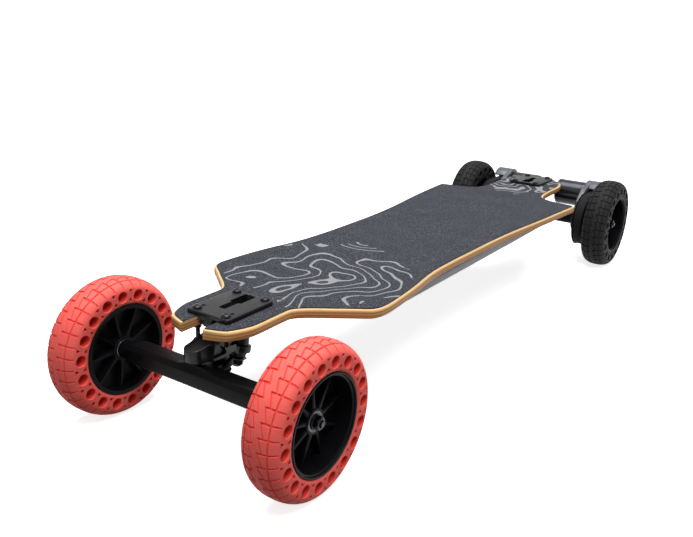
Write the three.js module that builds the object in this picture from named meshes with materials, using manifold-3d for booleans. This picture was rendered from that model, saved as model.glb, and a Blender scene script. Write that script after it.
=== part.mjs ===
// An electric mountainboard: a wooden deck hung between two double kingpin trucks, four
// airless tyres on nine spoke rims, a twin belt drive at the rear, and a flat enclosure
// with the battery and the motor controller under the deck.
// Millimetres, +Z up. The front faces -Y, and the origin lies on the floor midway
// between the two axles.

import * as THREE from 'three';
import { mergeVertices } from 'three/addons/utils/BufferGeometryUtils.js';
import Module from 'manifold-3d';

const wasm = await Module();
wasm.setup();

// Driving dimensions
const wheelbase = 965;
const wheelTrack = 282.8;
const tyreDiameter = 165;
const tyreWidth = 45.4;
const gap = 0.3;                // clearance left between pieces that touch
const overrun = 2;              // how far a cut runs past the face it opens

// Wheels
const tyreSeatShare = 0.6594;   // this one and the next three are shares of the tyre's radius
const sidewallShare = 0.8727;
const holeCircleShare = 0.7879;
const holeRadiusShare = 0.0636;
const tyreSeatGroove = 3;       // depth of the V that keeps the tyre on its rim
const tyreSides = 30;
const treadFlatWidth = 10;
const crownDrop = 5.3;
const shoulderInset = 3.2;
const holeCount = 18;
const holeSides = 6;
const frontLeftTurn = -2.4;     // degrees that the front wheels stand turned
const frontRightTurn = 10.1;
const rimWall = 5;
const rimRecess = 0.4;          // the rim ends this far inside the tyre's side
const hubOuterFace = 8.6;       // outwards from the wheel's middle plane
const hubInnerFace = 17.4;      // inwards from the wheel's middle plane
const hubRadius = 14.5;
const hubSides = 14;
const spokeCount = 9;
const spokeThickness = 2.6;
const spokeRootThickness = 5.6;
const spokeInnerInset = 2;
const spokeOuterInset = 1.2;
const spokeRimOuterInset = 4;
const spokeRimBite = 1.2;
const webInset = 11;            // from the hub's inner face to the disc that closes the spokes
const webThickness = 3;
const bearingRadius = 11;
const bearingWidth = 7;
const bearingSpacerRadius = 6.5;
const bearingSides = 12;
const axleRadius = 4;
const axleSides = 10;
const axleNutWidth = 13;
const axleNutHeight = 6;
const axleWasherRadius = 8;
const axleWasherHeight = 1.2;
const axleEndLength = 2;

// Deck
const deckThickness = 11;
const gripThickness = 1;
const gripInset = 2.6;
const deckEdgeRound = 2;
const deckNoseOverhang = 14.5;  // past the front axle
const deckTailOverhang = 17.5;  // past the rear axle
const deckHalfWidth = 131.5;
const deckShoulderShare = 0.9544;  // the front's greatest width, of the rear's
const rockerDepth = 5.5;
const concaveRise = 2.5;
const concaveShare = 0.6342;    // of half the wheelbase
const slotSideGap = 0.8;        // between the slot and the casting that stands in it

// The deck's outline, as shares of its length from the middle and of its greatest width
const noseShares = [
  [1, 0.15], [0.984, 0.307], [0.968, 0.351], [0.934, 0.406], [0.907, 0.418], [0.817, 0.418],
  [0.797, 0.43], [0.769, 0.518], [0.732, 0.693], [0.7, 0.845], [0.686, 0.916], [0.674, 0.964],
  [0.646, 1], [0.59, 0.996], [0.489, 0.956], [0.348, 0.873], [0.221, 0.853], [0.101, 0.857],
];
const tailShares = [
  [0.032, 0.825], [0.172, 0.856], [0.318, 0.913], [0.412, 0.947], [0.48, 0.966], [0.602, 1],
  [0.616, 0.989], [0.626, 0.722], [0.636, 0.624], [0.654, 0.517], [0.698, 0.449], [0.76, 0.433],
  [0.85, 0.433], [0.914, 0.403], [0.952, 0.319], [0.992, 0.167], [1, 0.15],
];
const crossShares = [-1, -0.5, 0.5, 1];

// Trucks: places are measured inboard from the axle, heights up from the axle's middle line
const plateUnderside = 67.5;
const plateThickness = 5;
const plateHalfWidth = 30;
const plateOuterRim = 7.85;     // from the outer bolts' middle to the plate's end
const plateBoltInset = 4.65;    // from the inner bolts' middle to the plate's end
const plateInnerRim = 5;        // that the plate runs past the casting
const plateCorner = 3;
const boltSpacingX = 41.3;
const boltSpacingY = 63.5;
const boltRadius = 2.5;
const boltHoleRadius = 3.2;
const boltHeadRadius = 4.8;
const boltHeadSides = 8;
const boltHeadHeight = 3;
const lockNutWidth = 8;
const lockNutHeight = 5;
const boltEndLength = 12;
const boltSides = 6;
const windowNarrowLength = 22;
const windowWideLength = 25.7;
const windowNarrowHalfWidth = 4.8;
const windowWideHalfWidth = 8;
const windowDepth = 16;         // below the plate, as the next two drops
const plateHoleInset = 2.6;
const plateHoleX = 20.6;
const plateHoleRadius = 1.8;
const castingHalfWidth = 14.2;
const castingRootWall = 8;
const castingFootDrop = 8.5;
const pivotHousingEnd = 4;
const pivotHousingHalfWidth = 9;
const pivotPinRadius = 2.8;
const pivotPinRootRadius = 4.8;
const pivotRunGap = 1;          // room for a pivot pin to lean in its cup
const pivotTipLength = 4;
const upperPivotPlace = 10;
const upperPivotDrop = 7;
const upperRingPlace = 58;
const upperRingHeight = 16.5;
const upperKingpinTilt = 14;    // degrees, the top leans inboard
const lowerPivotPlace = -6;
const lowerPivotHeight = 23;
const kingpinSpacing = 30;      // along the board, between the two rings
const lowerRingHeight = 10.5;
const lowerKingpinTilt = -6;
const kingpinRadius = 5;
const kingpinHeadRadius = 7;
const kingpinHeadHeight = 5;
const kingpinNutWidth = 14;
const kingpinNutHeight = 7;
const kingpinEndLength = 1.5;
const kingpinSides = 10;
const upperKingpinGrip = 19;    // length held by the base plate's casting
const lowerKingpinGrip = 10.5;  // length held by the arm
const ringRadius = 13.5;
const ringThickness = 8;
const ringHoleRadius = 7.8;
const ringSides = 16;
const bushingRadius = 10.3;
const bushingWaistRadius = 7.3;
const bushingConeRadius = 8.3;
const bushingSides = 12;
const tallBushingHeight = 10.5;
const middleBushingHeight = 7;
const shortBushingHeight = 6.5;
const cupWasherRadius = 10.8;
const cupWasherHeight = 1.5;
const armHalfWidth = 14;
const armWaistHalfWidth = 9;
const armWaistLead = 13;        // from the arm's waist to its ring
const armWaistLength = 7;
const armBossRadius = 9.5;
const armBossDrop = 3;
const noseFront = -22;
const noseLowFront = -20.5;
const noseRadius = 11;
const noseTopFront = 40;
const noseTopBack = 45;
const noseTopEnd = 18;
const noseWideStart = 3;        // where the nose reaches the arm's full width
const noseBottom = 25;
const noseChamfer = 2;
const noseArcSteps = 8;
const beamFront = -15.5;
const beamBack = 12;
const beamBottom = -5.5;
const beamTop = 15.5;
const beamChamfer = 5;
const beamBlendLength = 16;     // from the beam's even middle to the round collars
const collarLead = 20;          // how far inboard of the motor mounts a collar starts
const collarRadius = 13;
const collarConeGap = 2;        // from a motor mount to the cone outside it
const collarConeLength = 6;
const collarEndRadius = 11;
const collarSides = 16;
const ribPeak = 20.5;
const ribFront = -12;
const ribBack = -4;
const ribRunOut = 8;            // past the beam's even middle
const ribTopHalfLength = 9;
const ringWebHalfWidth = 10;
const ringWebThickness = 5.6;

// Belt drive
const toothPitch = 5;
const toothDepth = 2.1;
const pitchLineOffset = 0.57;
const wheelTeeth = 60;
const motorTeeth = 15;
const wheelToothShares = [[0, 0], [0.5, 1]];               // of the pitch, of the depth
const motorToothShares = [[0, 0], [0.34, 0], [0.67, 1]];
const beltWidth = 15;
const beltBackOverPitch = 1.3;
const beltSideGap = 0.8;
const beltWheelSteps = 24;
const beltMotorSteps = 8;
const flangeHeight = 3.3;
const flangeThickness = 1.2;
const flangeSides = 28;
const motorFlangeSides = 14;
const pulleySpacing = 9.35;     // between the two pulleys' pitch circles
const driveAngle = 30.47;       // degrees that the motor's axis stands up behind the axle
const motorRadius = 25;
const motorStartShare = 0.25;   // of the way from the middle to the mount
const motorSides = 22;
const motorBoreDepth = 20;
const motorGroovePlace = 8;
const motorGrooveWidth = 1.6;
const motorGrooveDepth = 0.9;
const motorEdgeRound = 2;
const driveSideGap = 5.7;       // from the tyre's side to the hood
const mountThickness = 9;
const mountClampWall = 11;
const mountEdge = 5.5;          // that the mount stands out round the motor
const mountShaftHole = 8;
const mountEndSteps = 9;
const mountClampSteps = 8;
const mountCrestTurn = 14;      // degrees left to the crest
const mountCrestShares = [[-0.429, 0.884], [-0.956, 0.7], [-1.385, 0.574]];  // of its end's radius
const mountShoulderShare = 1.56;  // of the clamp's radius, above the axle
const hoodWall = 3;
const hoodStartAngle = -35;
const hoodEndAngle = 142;
const hoodSteps = 9;
const hoodSideGap = 2.4;        // that the hood runs past the motor pulley
const shaftRadius = 4;
const pulleyFaceGap = 2.6;      // from the mount plate to the pulleys' inner flange
const pulleyBandWall = 4;
const pulleyWebThickness = 4.5;
const pulleyBoreGap = 2;
const adaptorRadius = 34;
const adaptorWall = 4;
const adaptorSides = 18;

// Enclosure
const enclosureFrontShare = 0.4974;    // of half the wheelbase
const enclosureRearShare = 0.5803;
const enclosureWidthShare = 0.7833;    // of the deck's width
const enclosureFloorInset = 21;
const enclosureDepth = 32.4;           // below the deck's ends, as the shoulder's depth
const enclosureShoulderDepth = 15.9;
const enclosureWall = 2.6;
const enclosureEndSlope = 16;
const enclosureCorner = 9;
const gasketThickness = 2;
const gasketWidth = 7;
const packFrontGap = 24;
const batteryLengthShare = 0.5192;     // of the enclosure's length
const batterySideGap = 8;
const batteryTopGap = 4;               // under the deck's middle
const packSpacing = 30;
const controllerLengthShare = 0.2308;
const controllerWidthShare = 0.7027;   // of the battery
const controllerHeightShare = 0.85;
const packChamfer = 3;
const sidePieceDrop = 10.4;            // below the deck's ends
const sidePieceSides = 10;
const buttonSetback = 130;             // from the enclosure's rear
const buttonRadius = 3.6;
const buttonProud = 1.6;
const buttonLength = 8;
const buttonLipRadius = 4.5;
const buttonLipThickness = 1;
const portSetback = 90;
const portRadius = 3;
const portLength = 12;
const portFlangeRadius = 3.8;
const portFlangeThickness = 0.8;
const capRadius = 4.4;
const capThickness = 1.4;
const capTabWidth = 5;
const capTabLength = 4;
const capKnuckleRadius = 1.1;
const glandShare = 0.5825;             // of the enclosure's half width
const glandRadius = 3.2;
const glandBoreRadius = 1.6;
const glandLength = 11;
const glandFlangeRadius = 4.5;
const glandFlangeThickness = 1.6;

// Sizes that follow from the ones above, with heights from the axle's middle line up
const fullTurn = 2 * Math.PI;
const fullCircle = 360;
const degree = Math.PI / 180;
const halfWheelbase = wheelbase / 2;
const wheelPlane = wheelTrack / 2;
const tyreRadius = tyreDiameter / 2;
const tyreSeatRadius = tyreRadius * tyreSeatShare;
const sidewallRadius = tyreRadius * sidewallShare;
const holeCircleRadius = tyreRadius * holeCircleShare;
const holeRadius = tyreRadius * holeRadiusShare;
const halfTyreWidth = tyreWidth / 2;
const halfRimWidth = halfTyreWidth - rimRecess;
const rimRadius = tyreSeatRadius - gap;
const rimInnerRadius = rimRadius - rimWall;
const spokeInnerFace = spokeInnerInset - hubInnerFace;
const webInnerFace = webInset - hubInnerFace;
const nutSeat = hubOuterFace + gap;
const nutFace = nutSeat + axleWasherHeight + axleNutHeight;
const kingpinAtPlate = upperRingPlace
  + (plateUnderside - upperRingHeight) * Math.tan(upperKingpinTilt * degree);
const castingEnd = kingpinAtPlate + kingpinHeadRadius + gap;
const plateInnerEnd = castingEnd + plateInnerRim;
const boltPatternCentre = plateInnerEnd - plateBoltInset - boltSpacingY / 2;
const plateOuterEnd = boltPatternCentre - boltSpacingY / 2 - plateOuterRim;
const windowEnd = castingEnd - gap;
const windowNarrowEnd = windowEnd - windowWideLength;
const windowNarrowStart = windowNarrowEnd - windowNarrowLength;
const castingRoot = windowNarrowStart - castingRootWall;
const plateHolePlace = castingRoot + plateHoleInset;
const lowerRingPlace = upperRingPlace - kingpinSpacing;
const armWaistEnd = upperRingPlace - armWaistLead;
const armWaistStart = armWaistEnd - armWaistLength;
const deckTop = plateUnderside - 2 * gap - gripThickness;
const deckBottom = deckTop - deckThickness;
const deckNoseEnd = halfWheelbase + deckNoseOverhang;
const deckTailEnd = halfWheelbase + deckTailOverhang;
const deckShoulderHalfWidth = deckHalfWidth * deckShoulderShare;
const rockerHalfLength = halfWheelbase - plateInnerEnd - overrun;
const concaveHalfLength = halfWheelbase * concaveShare;
const slotHalfWidth = castingHalfWidth + slotSideGap;
const slotEnd = castingEnd + gap;
const plateTop = plateUnderside + plateThickness;
const castingFoot = plateUnderside - castingFootDrop;
const windowFloor = plateUnderside - windowDepth;
const upperPivotHeight = plateUnderside - upperPivotDrop;
const ringHalf = ringThickness / 2;
const washerStack = cupWasherHeight + 2 * gap;
const bushingSeat = ringHalf + gap;
const upperSeatReach = bushingSeat + tallBushingHeight + washerStack;
const upperNutReach = bushingSeat + middleBushingHeight + washerStack;
const lowerSeatReach = bushingSeat + shortBushingHeight + washerStack;
const upperHeadReach = upperSeatReach + upperKingpinGrip + gap;
const lowerHeadReach = lowerSeatReach + lowerKingpinGrip + gap;
const hoodEnd = wheelPlane - halfTyreWidth - driveSideGap;
const pulleyEnd = hoodEnd - hoodSideGap;
const bandEnd = pulleyEnd - flangeThickness;
const bandStart = bandEnd - beltWidth - 2 * beltSideGap;
const pulleyStart = bandStart - flangeThickness;
const mountOuterFace = pulleyStart - pulleyFaceGap;
const mountInnerFace = mountOuterFace - mountThickness;
const collarStart = mountInnerFace - collarLead;
const collarConeStart = mountOuterFace + collarConeGap;
const collarConeEnd = collarConeStart + collarConeLength;
const collarEnd = wheelPlane - hubInnerFace - gap;
const beamCoreHalfLength = collarStart - beamBlendLength;
const ribHalfLength = beamCoreHalfLength + ribRunOut;
const axleHalfLength = wheelPlane + nutFace + axleEndLength;
const wheelPitchRadius = wheelTeeth * toothPitch / fullTurn;
const motorPitchRadius = motorTeeth * toothPitch / fullTurn;
const driveSpacing = wheelPitchRadius + motorPitchRadius + pulleySpacing;
const motorBehindAxle = driveSpacing * Math.cos(driveAngle * degree);
const motorAboveAxle = driveSpacing * Math.sin(driveAngle * degree);
const motorStart = mountInnerFace * motorStartShare;
const mountClampRadius = collarRadius + mountClampWall;
const mountEndRadius = motorRadius + mountEdge;
const adaptorEnd = wheelPlane + spokeInnerFace - gap;
const enclosureFront = -halfWheelbase * enclosureFrontShare;
const enclosureRear = halfWheelbase * enclosureRearShare;
const enclosureLength = enclosureRear - enclosureFront;
const enclosureHalfWidth = deckHalfWidth * enclosureWidthShare;
const enclosureFloorHalfWidth = enclosureHalfWidth - enclosureFloorInset;
const enclosureFloor = deckBottom - enclosureDepth;
const enclosureShoulder = deckBottom - enclosureShoulderDepth;
const sidePieceHeight = deckBottom - sidePieceDrop;
const buttonPlace = enclosureRear - buttonSetback;
const portPlace = enclosureRear - portSetback;
const glandX = enclosureHalfWidth * glandShare;
const packSeat = enclosureFloor + enclosureWall + gap;
const batteryStart = enclosureFront + enclosureEndSlope + packFrontGap;
const batteryLength = enclosureLength * batteryLengthShare;
const batteryHalfWidth = enclosureFloorHalfWidth - batterySideGap;
const batteryHeight = deckBottom - rockerDepth - batteryTopGap - packSeat;
const controllerStart = batteryStart + batteryLength + packSpacing;
const controllerLength = enclosureLength * controllerLengthShare;
const controllerHalfWidth = batteryHalfWidth * controllerWidthShare;
const controllerHeight = batteryHeight * controllerHeightShare;
const boltPlaces = [-1, 1].flatMap((along) => [-1, 1].map(
  (across) => [across * boltSpacingX / 2, boltPatternCentre + along * boltSpacingY / 2]));

// Colour, roughness and metalness of each finish
const finish = {
  redRubber: ['#e8604f', 0.72, 0],
  blackRubber: ['#2b2b2d', 0.8, 0],
  blackPlastic: ['#1d1d1f', 0.45, 0],
  blackMetal: ['#222226', 0.4, 0.7],
  greyMetal: ['#5d5f63', 0.42, 0.8],
  steel: ['#9b9da1', 0.32, 0.95],
  darkSteel: ['#3b3b3e', 0.38, 0.85],
  maple: ['#d9ae6b', 0.5, 0],
  grip: ['#3e4048', 0.95, 0],
  greyPlastic: ['#77797d', 0.5, 0],
  urethane: ['#1b1b1d', 0.55, 0],
  seal: ['#141416', 0.9, 0],
  wrap: ['#2f4f8f', 0.5, 0],
};

const part = new THREE.Group();

// Every body is drawn with the axles at height 0, and stands on its tyres here
function addMesh(name, body, look) {
  const [color, roughness, metalness] = finish[look];
  const material = new THREE.MeshStandardMaterial({ color, roughness, metalness });
  const mesh = new THREE.Mesh(toGeometry(moved(body, 0, 0, tyreRadius)), material);
  mesh.name = name;
  part.add(mesh);
}

// Solids and their conversions
function toSolid(geometry) {
  geometry.deleteAttribute('normal');
  geometry.deleteAttribute('uv');
  const merged = mergeVertices(geometry);
  const corners = merged.index.array;
  const faces = [];
  for (let k = 0; k < corners.length; k += 3) {
    const [a, b, c] = corners.slice(k, k + 3);
    if (a !== b && b !== c && c !== a) faces.push(a, b, c);
  }
  return new wasm.Manifold(new wasm.Mesh({
    numProp: 3,
    vertProperties: new Float32Array(merged.attributes.position.array),
    triVerts: new Uint32Array(faces),
  }));
}

function toGeometry(body) {
  const { vertProperties, triVerts } = body.getMesh();
  const geometry = new THREE.BufferGeometry();
  geometry.setAttribute('position', new THREE.BufferAttribute(vertProperties, 3));
  geometry.setIndex(new THREE.BufferAttribute(triVerts, 1));
  return geometry;
}

function joined(...solids) {
  return solids.reduce((whole, next) => whole.add(next));
}

function cut(solid, ...tools) {
  return tools.reduce((rest, tool) => rest.subtract(tool), solid);
}

function moved(solid, x, y, z) {
  return solid.translate([x, y, z]);
}

// A profile of [radius, height] pairs turned about Z. It closes on itself, or starts and
// ends on the axis
function turned(profile, sides) {
  const closed = profile[0][0] > 0 ? [...profile, profile[0]] : profile;
  const points = closed.map(([r, z]) => new THREE.Vector2(r, z));
  const geometry = new THREE.LatheGeometry(points, sides, Math.PI / sides);
  geometry.rotateX(Math.PI / 2);
  return toSolid(geometry);
}

function cone(fromRadius, toRadius, from, to, sides) {
  return turned([[0, from], [fromRadius, from], [toRadius, to], [0, to]], sides);
}

function rod(radius, from, to, sides) {
  return cone(radius, radius, from, to, sides);
}

function hexagon(acrossFlats, from, to) {
  return rod(acrossFlats / 2 / Math.cos(Math.PI / 6), from, to, 6);
}

function box(low, high) {
  const size = low.map((value, k) => high[k] - value);
  const middle = low.map((value, k) => (value + high[k]) / 2);
  const geometry = new THREE.BoxGeometry(...size);
  geometry.translate(...middle);
  return toSolid(geometry);
}

// An outline of [x, y] pairs pushed along Z
function prism(outline, from, to) {
  const shape = new THREE.Shape(outline.map(([x, y]) => new THREE.Vector2(x, y)));
  const geometry = new THREE.ExtrudeGeometry(shape, { depth: to - from, bevelEnabled: false });
  geometry.translate(0, 0, from);
  return toSolid(geometry);
}

// A solid drawn about Z, laid down so that its Z runs along X, its X along Y and its Y up
function laidAlongX(solid) {
  const turn = new THREE.Matrix4().makeBasis(
    new THREE.Vector3(0, 1, 0), new THREE.Vector3(0, 0, 1), new THREE.Vector3(1, 0, 0));
  return solid.transform(turn.elements);
}

// An outline of [y, z] pairs pushed along X
function sidePrism(outline, from, to) {
  return laidAlongX(prism(outline, from, to));
}

// An outline of [x, z] pairs pushed along Y
function frontPrism(outline, from, to) {
  return prism(outline, -to, -from).rotate([90, 0, 0]);
}

// Rings of [x, y, z] points, as many in each, joined in order and capped
function loft(rings) {
  const count = rings[0].length;
  const last = (rings.length - 1) * count;
  const faces = [];
  for (let start = 0; start < last; start += count) {
    for (let k = 0; k < count; k += 1) {
      const a = start + k;
      const b = start + (k + 1) % count;
      faces.push(a, b, b + count, a, b + count, a + count);
    }
  }
  for (let k = 1; k < count - 1; k += 1) {
    faces.push(0, k + 1, k, last, last + k, last + k + 1);
  }
  const geometry = new THREE.BufferGeometry();
  geometry.setAttribute('position', new THREE.Float32BufferAttribute(rings.flat(2), 3));
  geometry.setIndex(faces);
  return toSolid(geometry);
}

function arc(radius, fromDegrees, toDegrees, steps, centreX = 0, centreY = 0) {
  return Array.from({ length: steps + 1 }, (_, k) => {
    const angle = (fromDegrees + (toDegrees - fromDegrees) * k / steps) * degree;
    return [centreX + radius * Math.cos(angle), centreY + radius * Math.sin(angle)];
  });
}

// Where the pieces go: end is -1 at the front and 1 at the rear, side is 1 at +X
function atTruck(solid, end) {
  const facing = end < 0 ? solid : solid.rotate([0, 0, 180]);
  return moved(facing, 0, end * halfWheelbase, 0);
}

function atCorner(solid, end, side) {
  const lying = laidAlongX(solid);
  const facing = side > 0 ? lying : lying.rotate([0, 0, 180]);
  return moved(facing, side * wheelPlane, end * halfWheelbase, 0);
}

function onDriveSide(solid, side) {
  const lying = laidAlongX(solid);
  const facing = side > 0 ? lying : lying.mirror([1, 0, 0]);
  return moved(facing, 0, halfWheelbase, 0);
}

function onUpperKingpin(solid) {
  return moved(solid.rotate([-upperKingpinTilt, 0, 0]), 0, upperRingPlace, upperRingHeight);
}

function onLowerKingpin(solid) {
  return moved(solid.rotate([-lowerKingpinTilt, 0, 0]), 0, lowerRingPlace, lowerRingHeight);
}

// The two ends, in the side view, of the flat that a cup washer bears on
function seatEnds(tilt, place, height, reach) {
  const across = Math.cos(tilt * degree);
  const up = Math.sin(tilt * degree);
  const centre = [place + up * reach, height + across * reach];
  return [-cupWasherRadius, cupWasherRadius].map(
    (step) => [centre[0] + step * across, centre[1] - step * up]);
}

// Wheels, drawn about Z with the outer side towards +Z
function tyre(turn) {
  const tipRadius = tyreRadius / Math.cos(Math.PI / tyreSides);
  const outer = [
    [sidewallRadius, halfTyreWidth],
    [tipRadius - crownDrop, halfTyreWidth - shoulderInset],
    [tipRadius, treadFlatWidth / 2],
  ];
  const body = turned([
    [tyreSeatRadius, -halfTyreWidth],
    ...outer.map(([r, z]) => [r, -z]),
    ...outer.toReversed(),
    [tyreSeatRadius, halfTyreWidth],
    [tyreSeatRadius - tyreSeatGroove, 0],
  ], tyreSides);
  const reach = halfTyreWidth + overrun;
  const holes = Array.from({ length: holeCount }, (_, k) => {
    const hole = moved(rod(holeRadius, -reach, reach, holeSides), 0, holeCircleRadius, 0);
    return hole.rotate([0, 0, turn + fullCircle * k / holeCount]);
  });
  return cut(body, ...holes);
}

function spoke(turn) {
  const section = (reach, thickness, high) => {
    const t = thickness / 2;
    return [[reach, -t, spokeInnerFace], [reach, t, spokeInnerFace], [reach, t, high], [reach, -t, high]];
  };
  const blade = loft([
    section(bearingRadius, spokeRootThickness, hubOuterFace - spokeOuterInset),
    section(rimInnerRadius + spokeRimBite, spokeThickness, hubOuterFace - spokeRimOuterInset),
  ]);
  return blade.rotate([0, 0, turn]);
}

function rim(turn) {
  const barrel = turned([
    [rimInnerRadius, -halfRimWidth],
    [rimRadius, -halfRimWidth],
    [rimRadius - tyreSeatGroove, 0],
    [rimRadius, halfRimWidth],
    [rimInnerRadius, halfRimWidth],
  ], tyreSides);
  const hub = rod(hubRadius, -hubInnerFace, hubOuterFace, hubSides);
  const web = rod(rimInnerRadius + spokeRimBite, webInnerFace, webInnerFace + webThickness, tyreSides);
  const spokes = Array.from({ length: spokeCount }, (_, k) => spoke(turn + fullCircle * k / spokeCount));
  const bore = rod(bearingRadius + gap, -hubInnerFace - overrun, hubOuterFace + overrun, bearingSides);
  return cut(joined(barrel, hub, web, ...spokes), bore);
}

// Two ball bearings and the spacer between them
function bearings() {
  const bore = axleRadius + gap;
  const innerEnd = bearingWidth - hubInnerFace;
  const outerEnd = hubOuterFace - bearingWidth;
  return turned([
    [bore, -hubInnerFace], [bearingRadius, -hubInnerFace],
    [bearingRadius, innerEnd], [bearingSpacerRadius, innerEnd],
    [bearingSpacerRadius, outerEnd], [bearingRadius, outerEnd],
    [bearingRadius, hubOuterFace], [bore, hubOuterFace],
  ], bearingSides);
}

function axleNut() {
  const washer = rod(axleWasherRadius, nutSeat, nutSeat + axleWasherHeight, axleSides);
  const nut = hexagon(axleNutWidth, nutSeat, nutFace);
  const bore = rod(axleRadius + gap, nutSeat - overrun, nutFace + overrun, axleSides);
  return cut(joined(washer, nut), bore);
}

// Deck and grip tape
function deckLift(x, y) {
  const along = Math.min(Math.abs(y) / rockerHalfLength, 1);
  const fade = Math.max(1 - (y / concaveHalfLength) ** 4, 0);
  return concaveRise * fade * (x / deckHalfWidth) ** 2 - rockerDepth * (1 - along ** 2);
}

// Places along the deck, each with the deck's half width there
function deckStations(inset) {
  return [
    ...noseShares.map(([along, across]) => [-along * (deckNoseEnd - inset), across * deckShoulderHalfWidth]),
    ...tailShares.map(([along, across]) => [along * (deckTailEnd - inset), across * deckHalfWidth]),
  ].map(([y, halfWidth]) => [y, halfWidth - inset]);
}

function deckBoard() {
  const low = deckBottom + deckEdgeRound;
  const high = deckTop - deckEdgeRound;
  return loft(deckStations(0).map(([y, halfWidth]) => {
    const at = (x, z) => [x, y, z + deckLift(x, y)];
    const row = (z) => crossShares.map((share) => at(share * (halfWidth - deckEdgeRound), z));
    return [
      ...row(deckTop), at(halfWidth, high), at(halfWidth, low),
      ...row(deckBottom).toReversed(), at(-halfWidth, low), at(-halfWidth, high),
    ];
  }));
}

// The slots and bolt holes that both trucks need through the deck
function truckOpenings() {
  const low = deckBottom - overrun;
  const high = plateUnderside;
  const farEnd = deckTailEnd - halfWheelbase + overrun;
  const slot = box([-slotHalfWidth, -farEnd, low], [slotHalfWidth, slotEnd, high]);
  const holes = boltPlaces.map(([x, y]) => moved(rod(boltHoleRadius, low, high, boltSides), x, y, 0));
  return [-1, 1].map((end) => atTruck(joined(slot, ...holes), end));
}

function deck() {
  return cut(deckBoard(), ...truckOpenings());
}

function gripTape(board) {
  const stations = deckStations(gripInset);
  const right = stations.map(([y, halfWidth]) => [halfWidth, y]);
  const left = stations.map(([y, halfWidth]) => [-halfWidth, y]).toReversed();
  const blank = prism([...right, ...left], deckBottom, plateTop);
  return cut(blank.intersect(moved(board, 0, 0, gap + gripThickness)), moved(board, 0, 0, gap));
}

// The base plate with the pivot's housing and the casting that holds the upper kingpin
function basePlate() {
  const wide = plateHalfWidth - plateCorner;
  const near = plateOuterEnd + plateCorner;
  const far = plateInnerEnd - plateCorner;
  const plate = prism([
    [-wide, plateOuterEnd], [wide, plateOuterEnd], [plateHalfWidth, near], [plateHalfWidth, far],
    [wide, plateInnerEnd], [-wide, plateInnerEnd], [-plateHalfWidth, far], [-plateHalfWidth, near],
  ], plateUnderside, plateTop);
  const joint = plateUnderside + plateThickness / 2;
  const housing = box([-pivotHousingHalfWidth, pivotHousingEnd, castingFoot],
    [pivotHousingHalfWidth, castingRoot + overrun, joint]);
  const casting = sidePrism([
    ...seatEnds(upperKingpinTilt, upperRingPlace, upperRingHeight, upperSeatReach),
    [castingEnd, joint], [castingRoot, joint], [castingRoot, castingFoot],
  ], -castingHalfWidth, castingHalfWidth);
  const window = prism([
    [-windowNarrowHalfWidth, windowNarrowStart], [windowNarrowHalfWidth, windowNarrowStart],
    [windowNarrowHalfWidth, windowNarrowEnd], [windowWideHalfWidth, windowNarrowEnd],
    [windowWideHalfWidth, windowEnd], [-windowWideHalfWidth, windowEnd],
    [-windowWideHalfWidth, windowNarrowEnd], [-windowNarrowHalfWidth, windowNarrowEnd],
  ], windowFloor, plateTop + overrun);
  const top = plateTop - upperRingHeight;
  const shank = onUpperKingpin(rod(kingpinRadius + gap, 0, top, kingpinSides));
  const headRoom = onUpperKingpin(
    rod(kingpinHeadRadius + gap, upperHeadReach - gap, top + overrun, kingpinSides));
  const pivotCup = rod(pivotPinRadius + pivotRunGap, castingFoot - overrun,
    upperPivotHeight + pivotTipLength + pivotRunGap, kingpinSides);
  const openings = boltPlaces.map(([x, y]) => moved(
    rod(boltHoleRadius, plateUnderside - overrun, plateTop + overrun, boltSides), x, y, 0));
  for (const side of [-1, 1]) {
    const small = rod(plateHoleRadius, joint, plateTop + overrun, boltSides);
    openings.push(moved(small, side * plateHoleX, plateHolePlace, 0));
  }
  openings.push(moved(pivotCup, 0, upperPivotPlace, 0));
  return cut(joined(plate, housing, casting), window, shank, headRoom, ...openings);
}

// A truck bolt with its head on the base plate and its locknut under the deck
function truckBolt() {
  const seat = plateTop + gap;
  const nutTop = deckBottom - gap;
  const nutBottom = nutTop - lockNutHeight;
  return joined(
    rod(boltRadius, nutBottom - boltEndLength, seat + boltHeadHeight / 2, boltSides),
    rod(boltHeadRadius, seat, seat + boltHeadHeight, boltHeadSides),
    hexagon(lockNutWidth, nutBottom, nutTop),
  );
}

// A kingpin with its head, cup washers and nut, measured up and down from its ring
function kingpin(seatReach, nutReach, headReach) {
  const nutTop = gap - nutReach;
  const nutBottom = nutTop - kingpinNutHeight;
  const washerTop = seatReach - gap;
  return joined(
    rod(kingpinRadius, nutBottom - kingpinEndLength, headReach + gap, kingpinSides),
    rod(kingpinHeadRadius, headReach, headReach + kingpinHeadHeight, kingpinSides),
    rod(cupWasherRadius, washerTop - cupWasherHeight, washerTop, bushingSides),
    rod(cupWasherRadius, nutTop, nutTop + cupWasherHeight, bushingSides),
    hexagon(kingpinNutWidth, nutBottom, nutTop),
  );
}

// Two urethane bushings and the sleeve that joins them through the ring
function bushings(upperHeight, lowerHeight) {
  const bore = kingpinRadius + gap;
  return turned([
    [bore, -bushingSeat - lowerHeight], [bushingConeRadius, -bushingSeat - lowerHeight],
    [bushingRadius, -bushingSeat], [bushingWaistRadius, -bushingSeat],
    [bushingWaistRadius, bushingSeat], [bushingRadius, bushingSeat],
    [bushingRadius, bushingSeat + upperHeight], [bore, bushingSeat + upperHeight],
  ], bushingSides);
}

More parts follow.
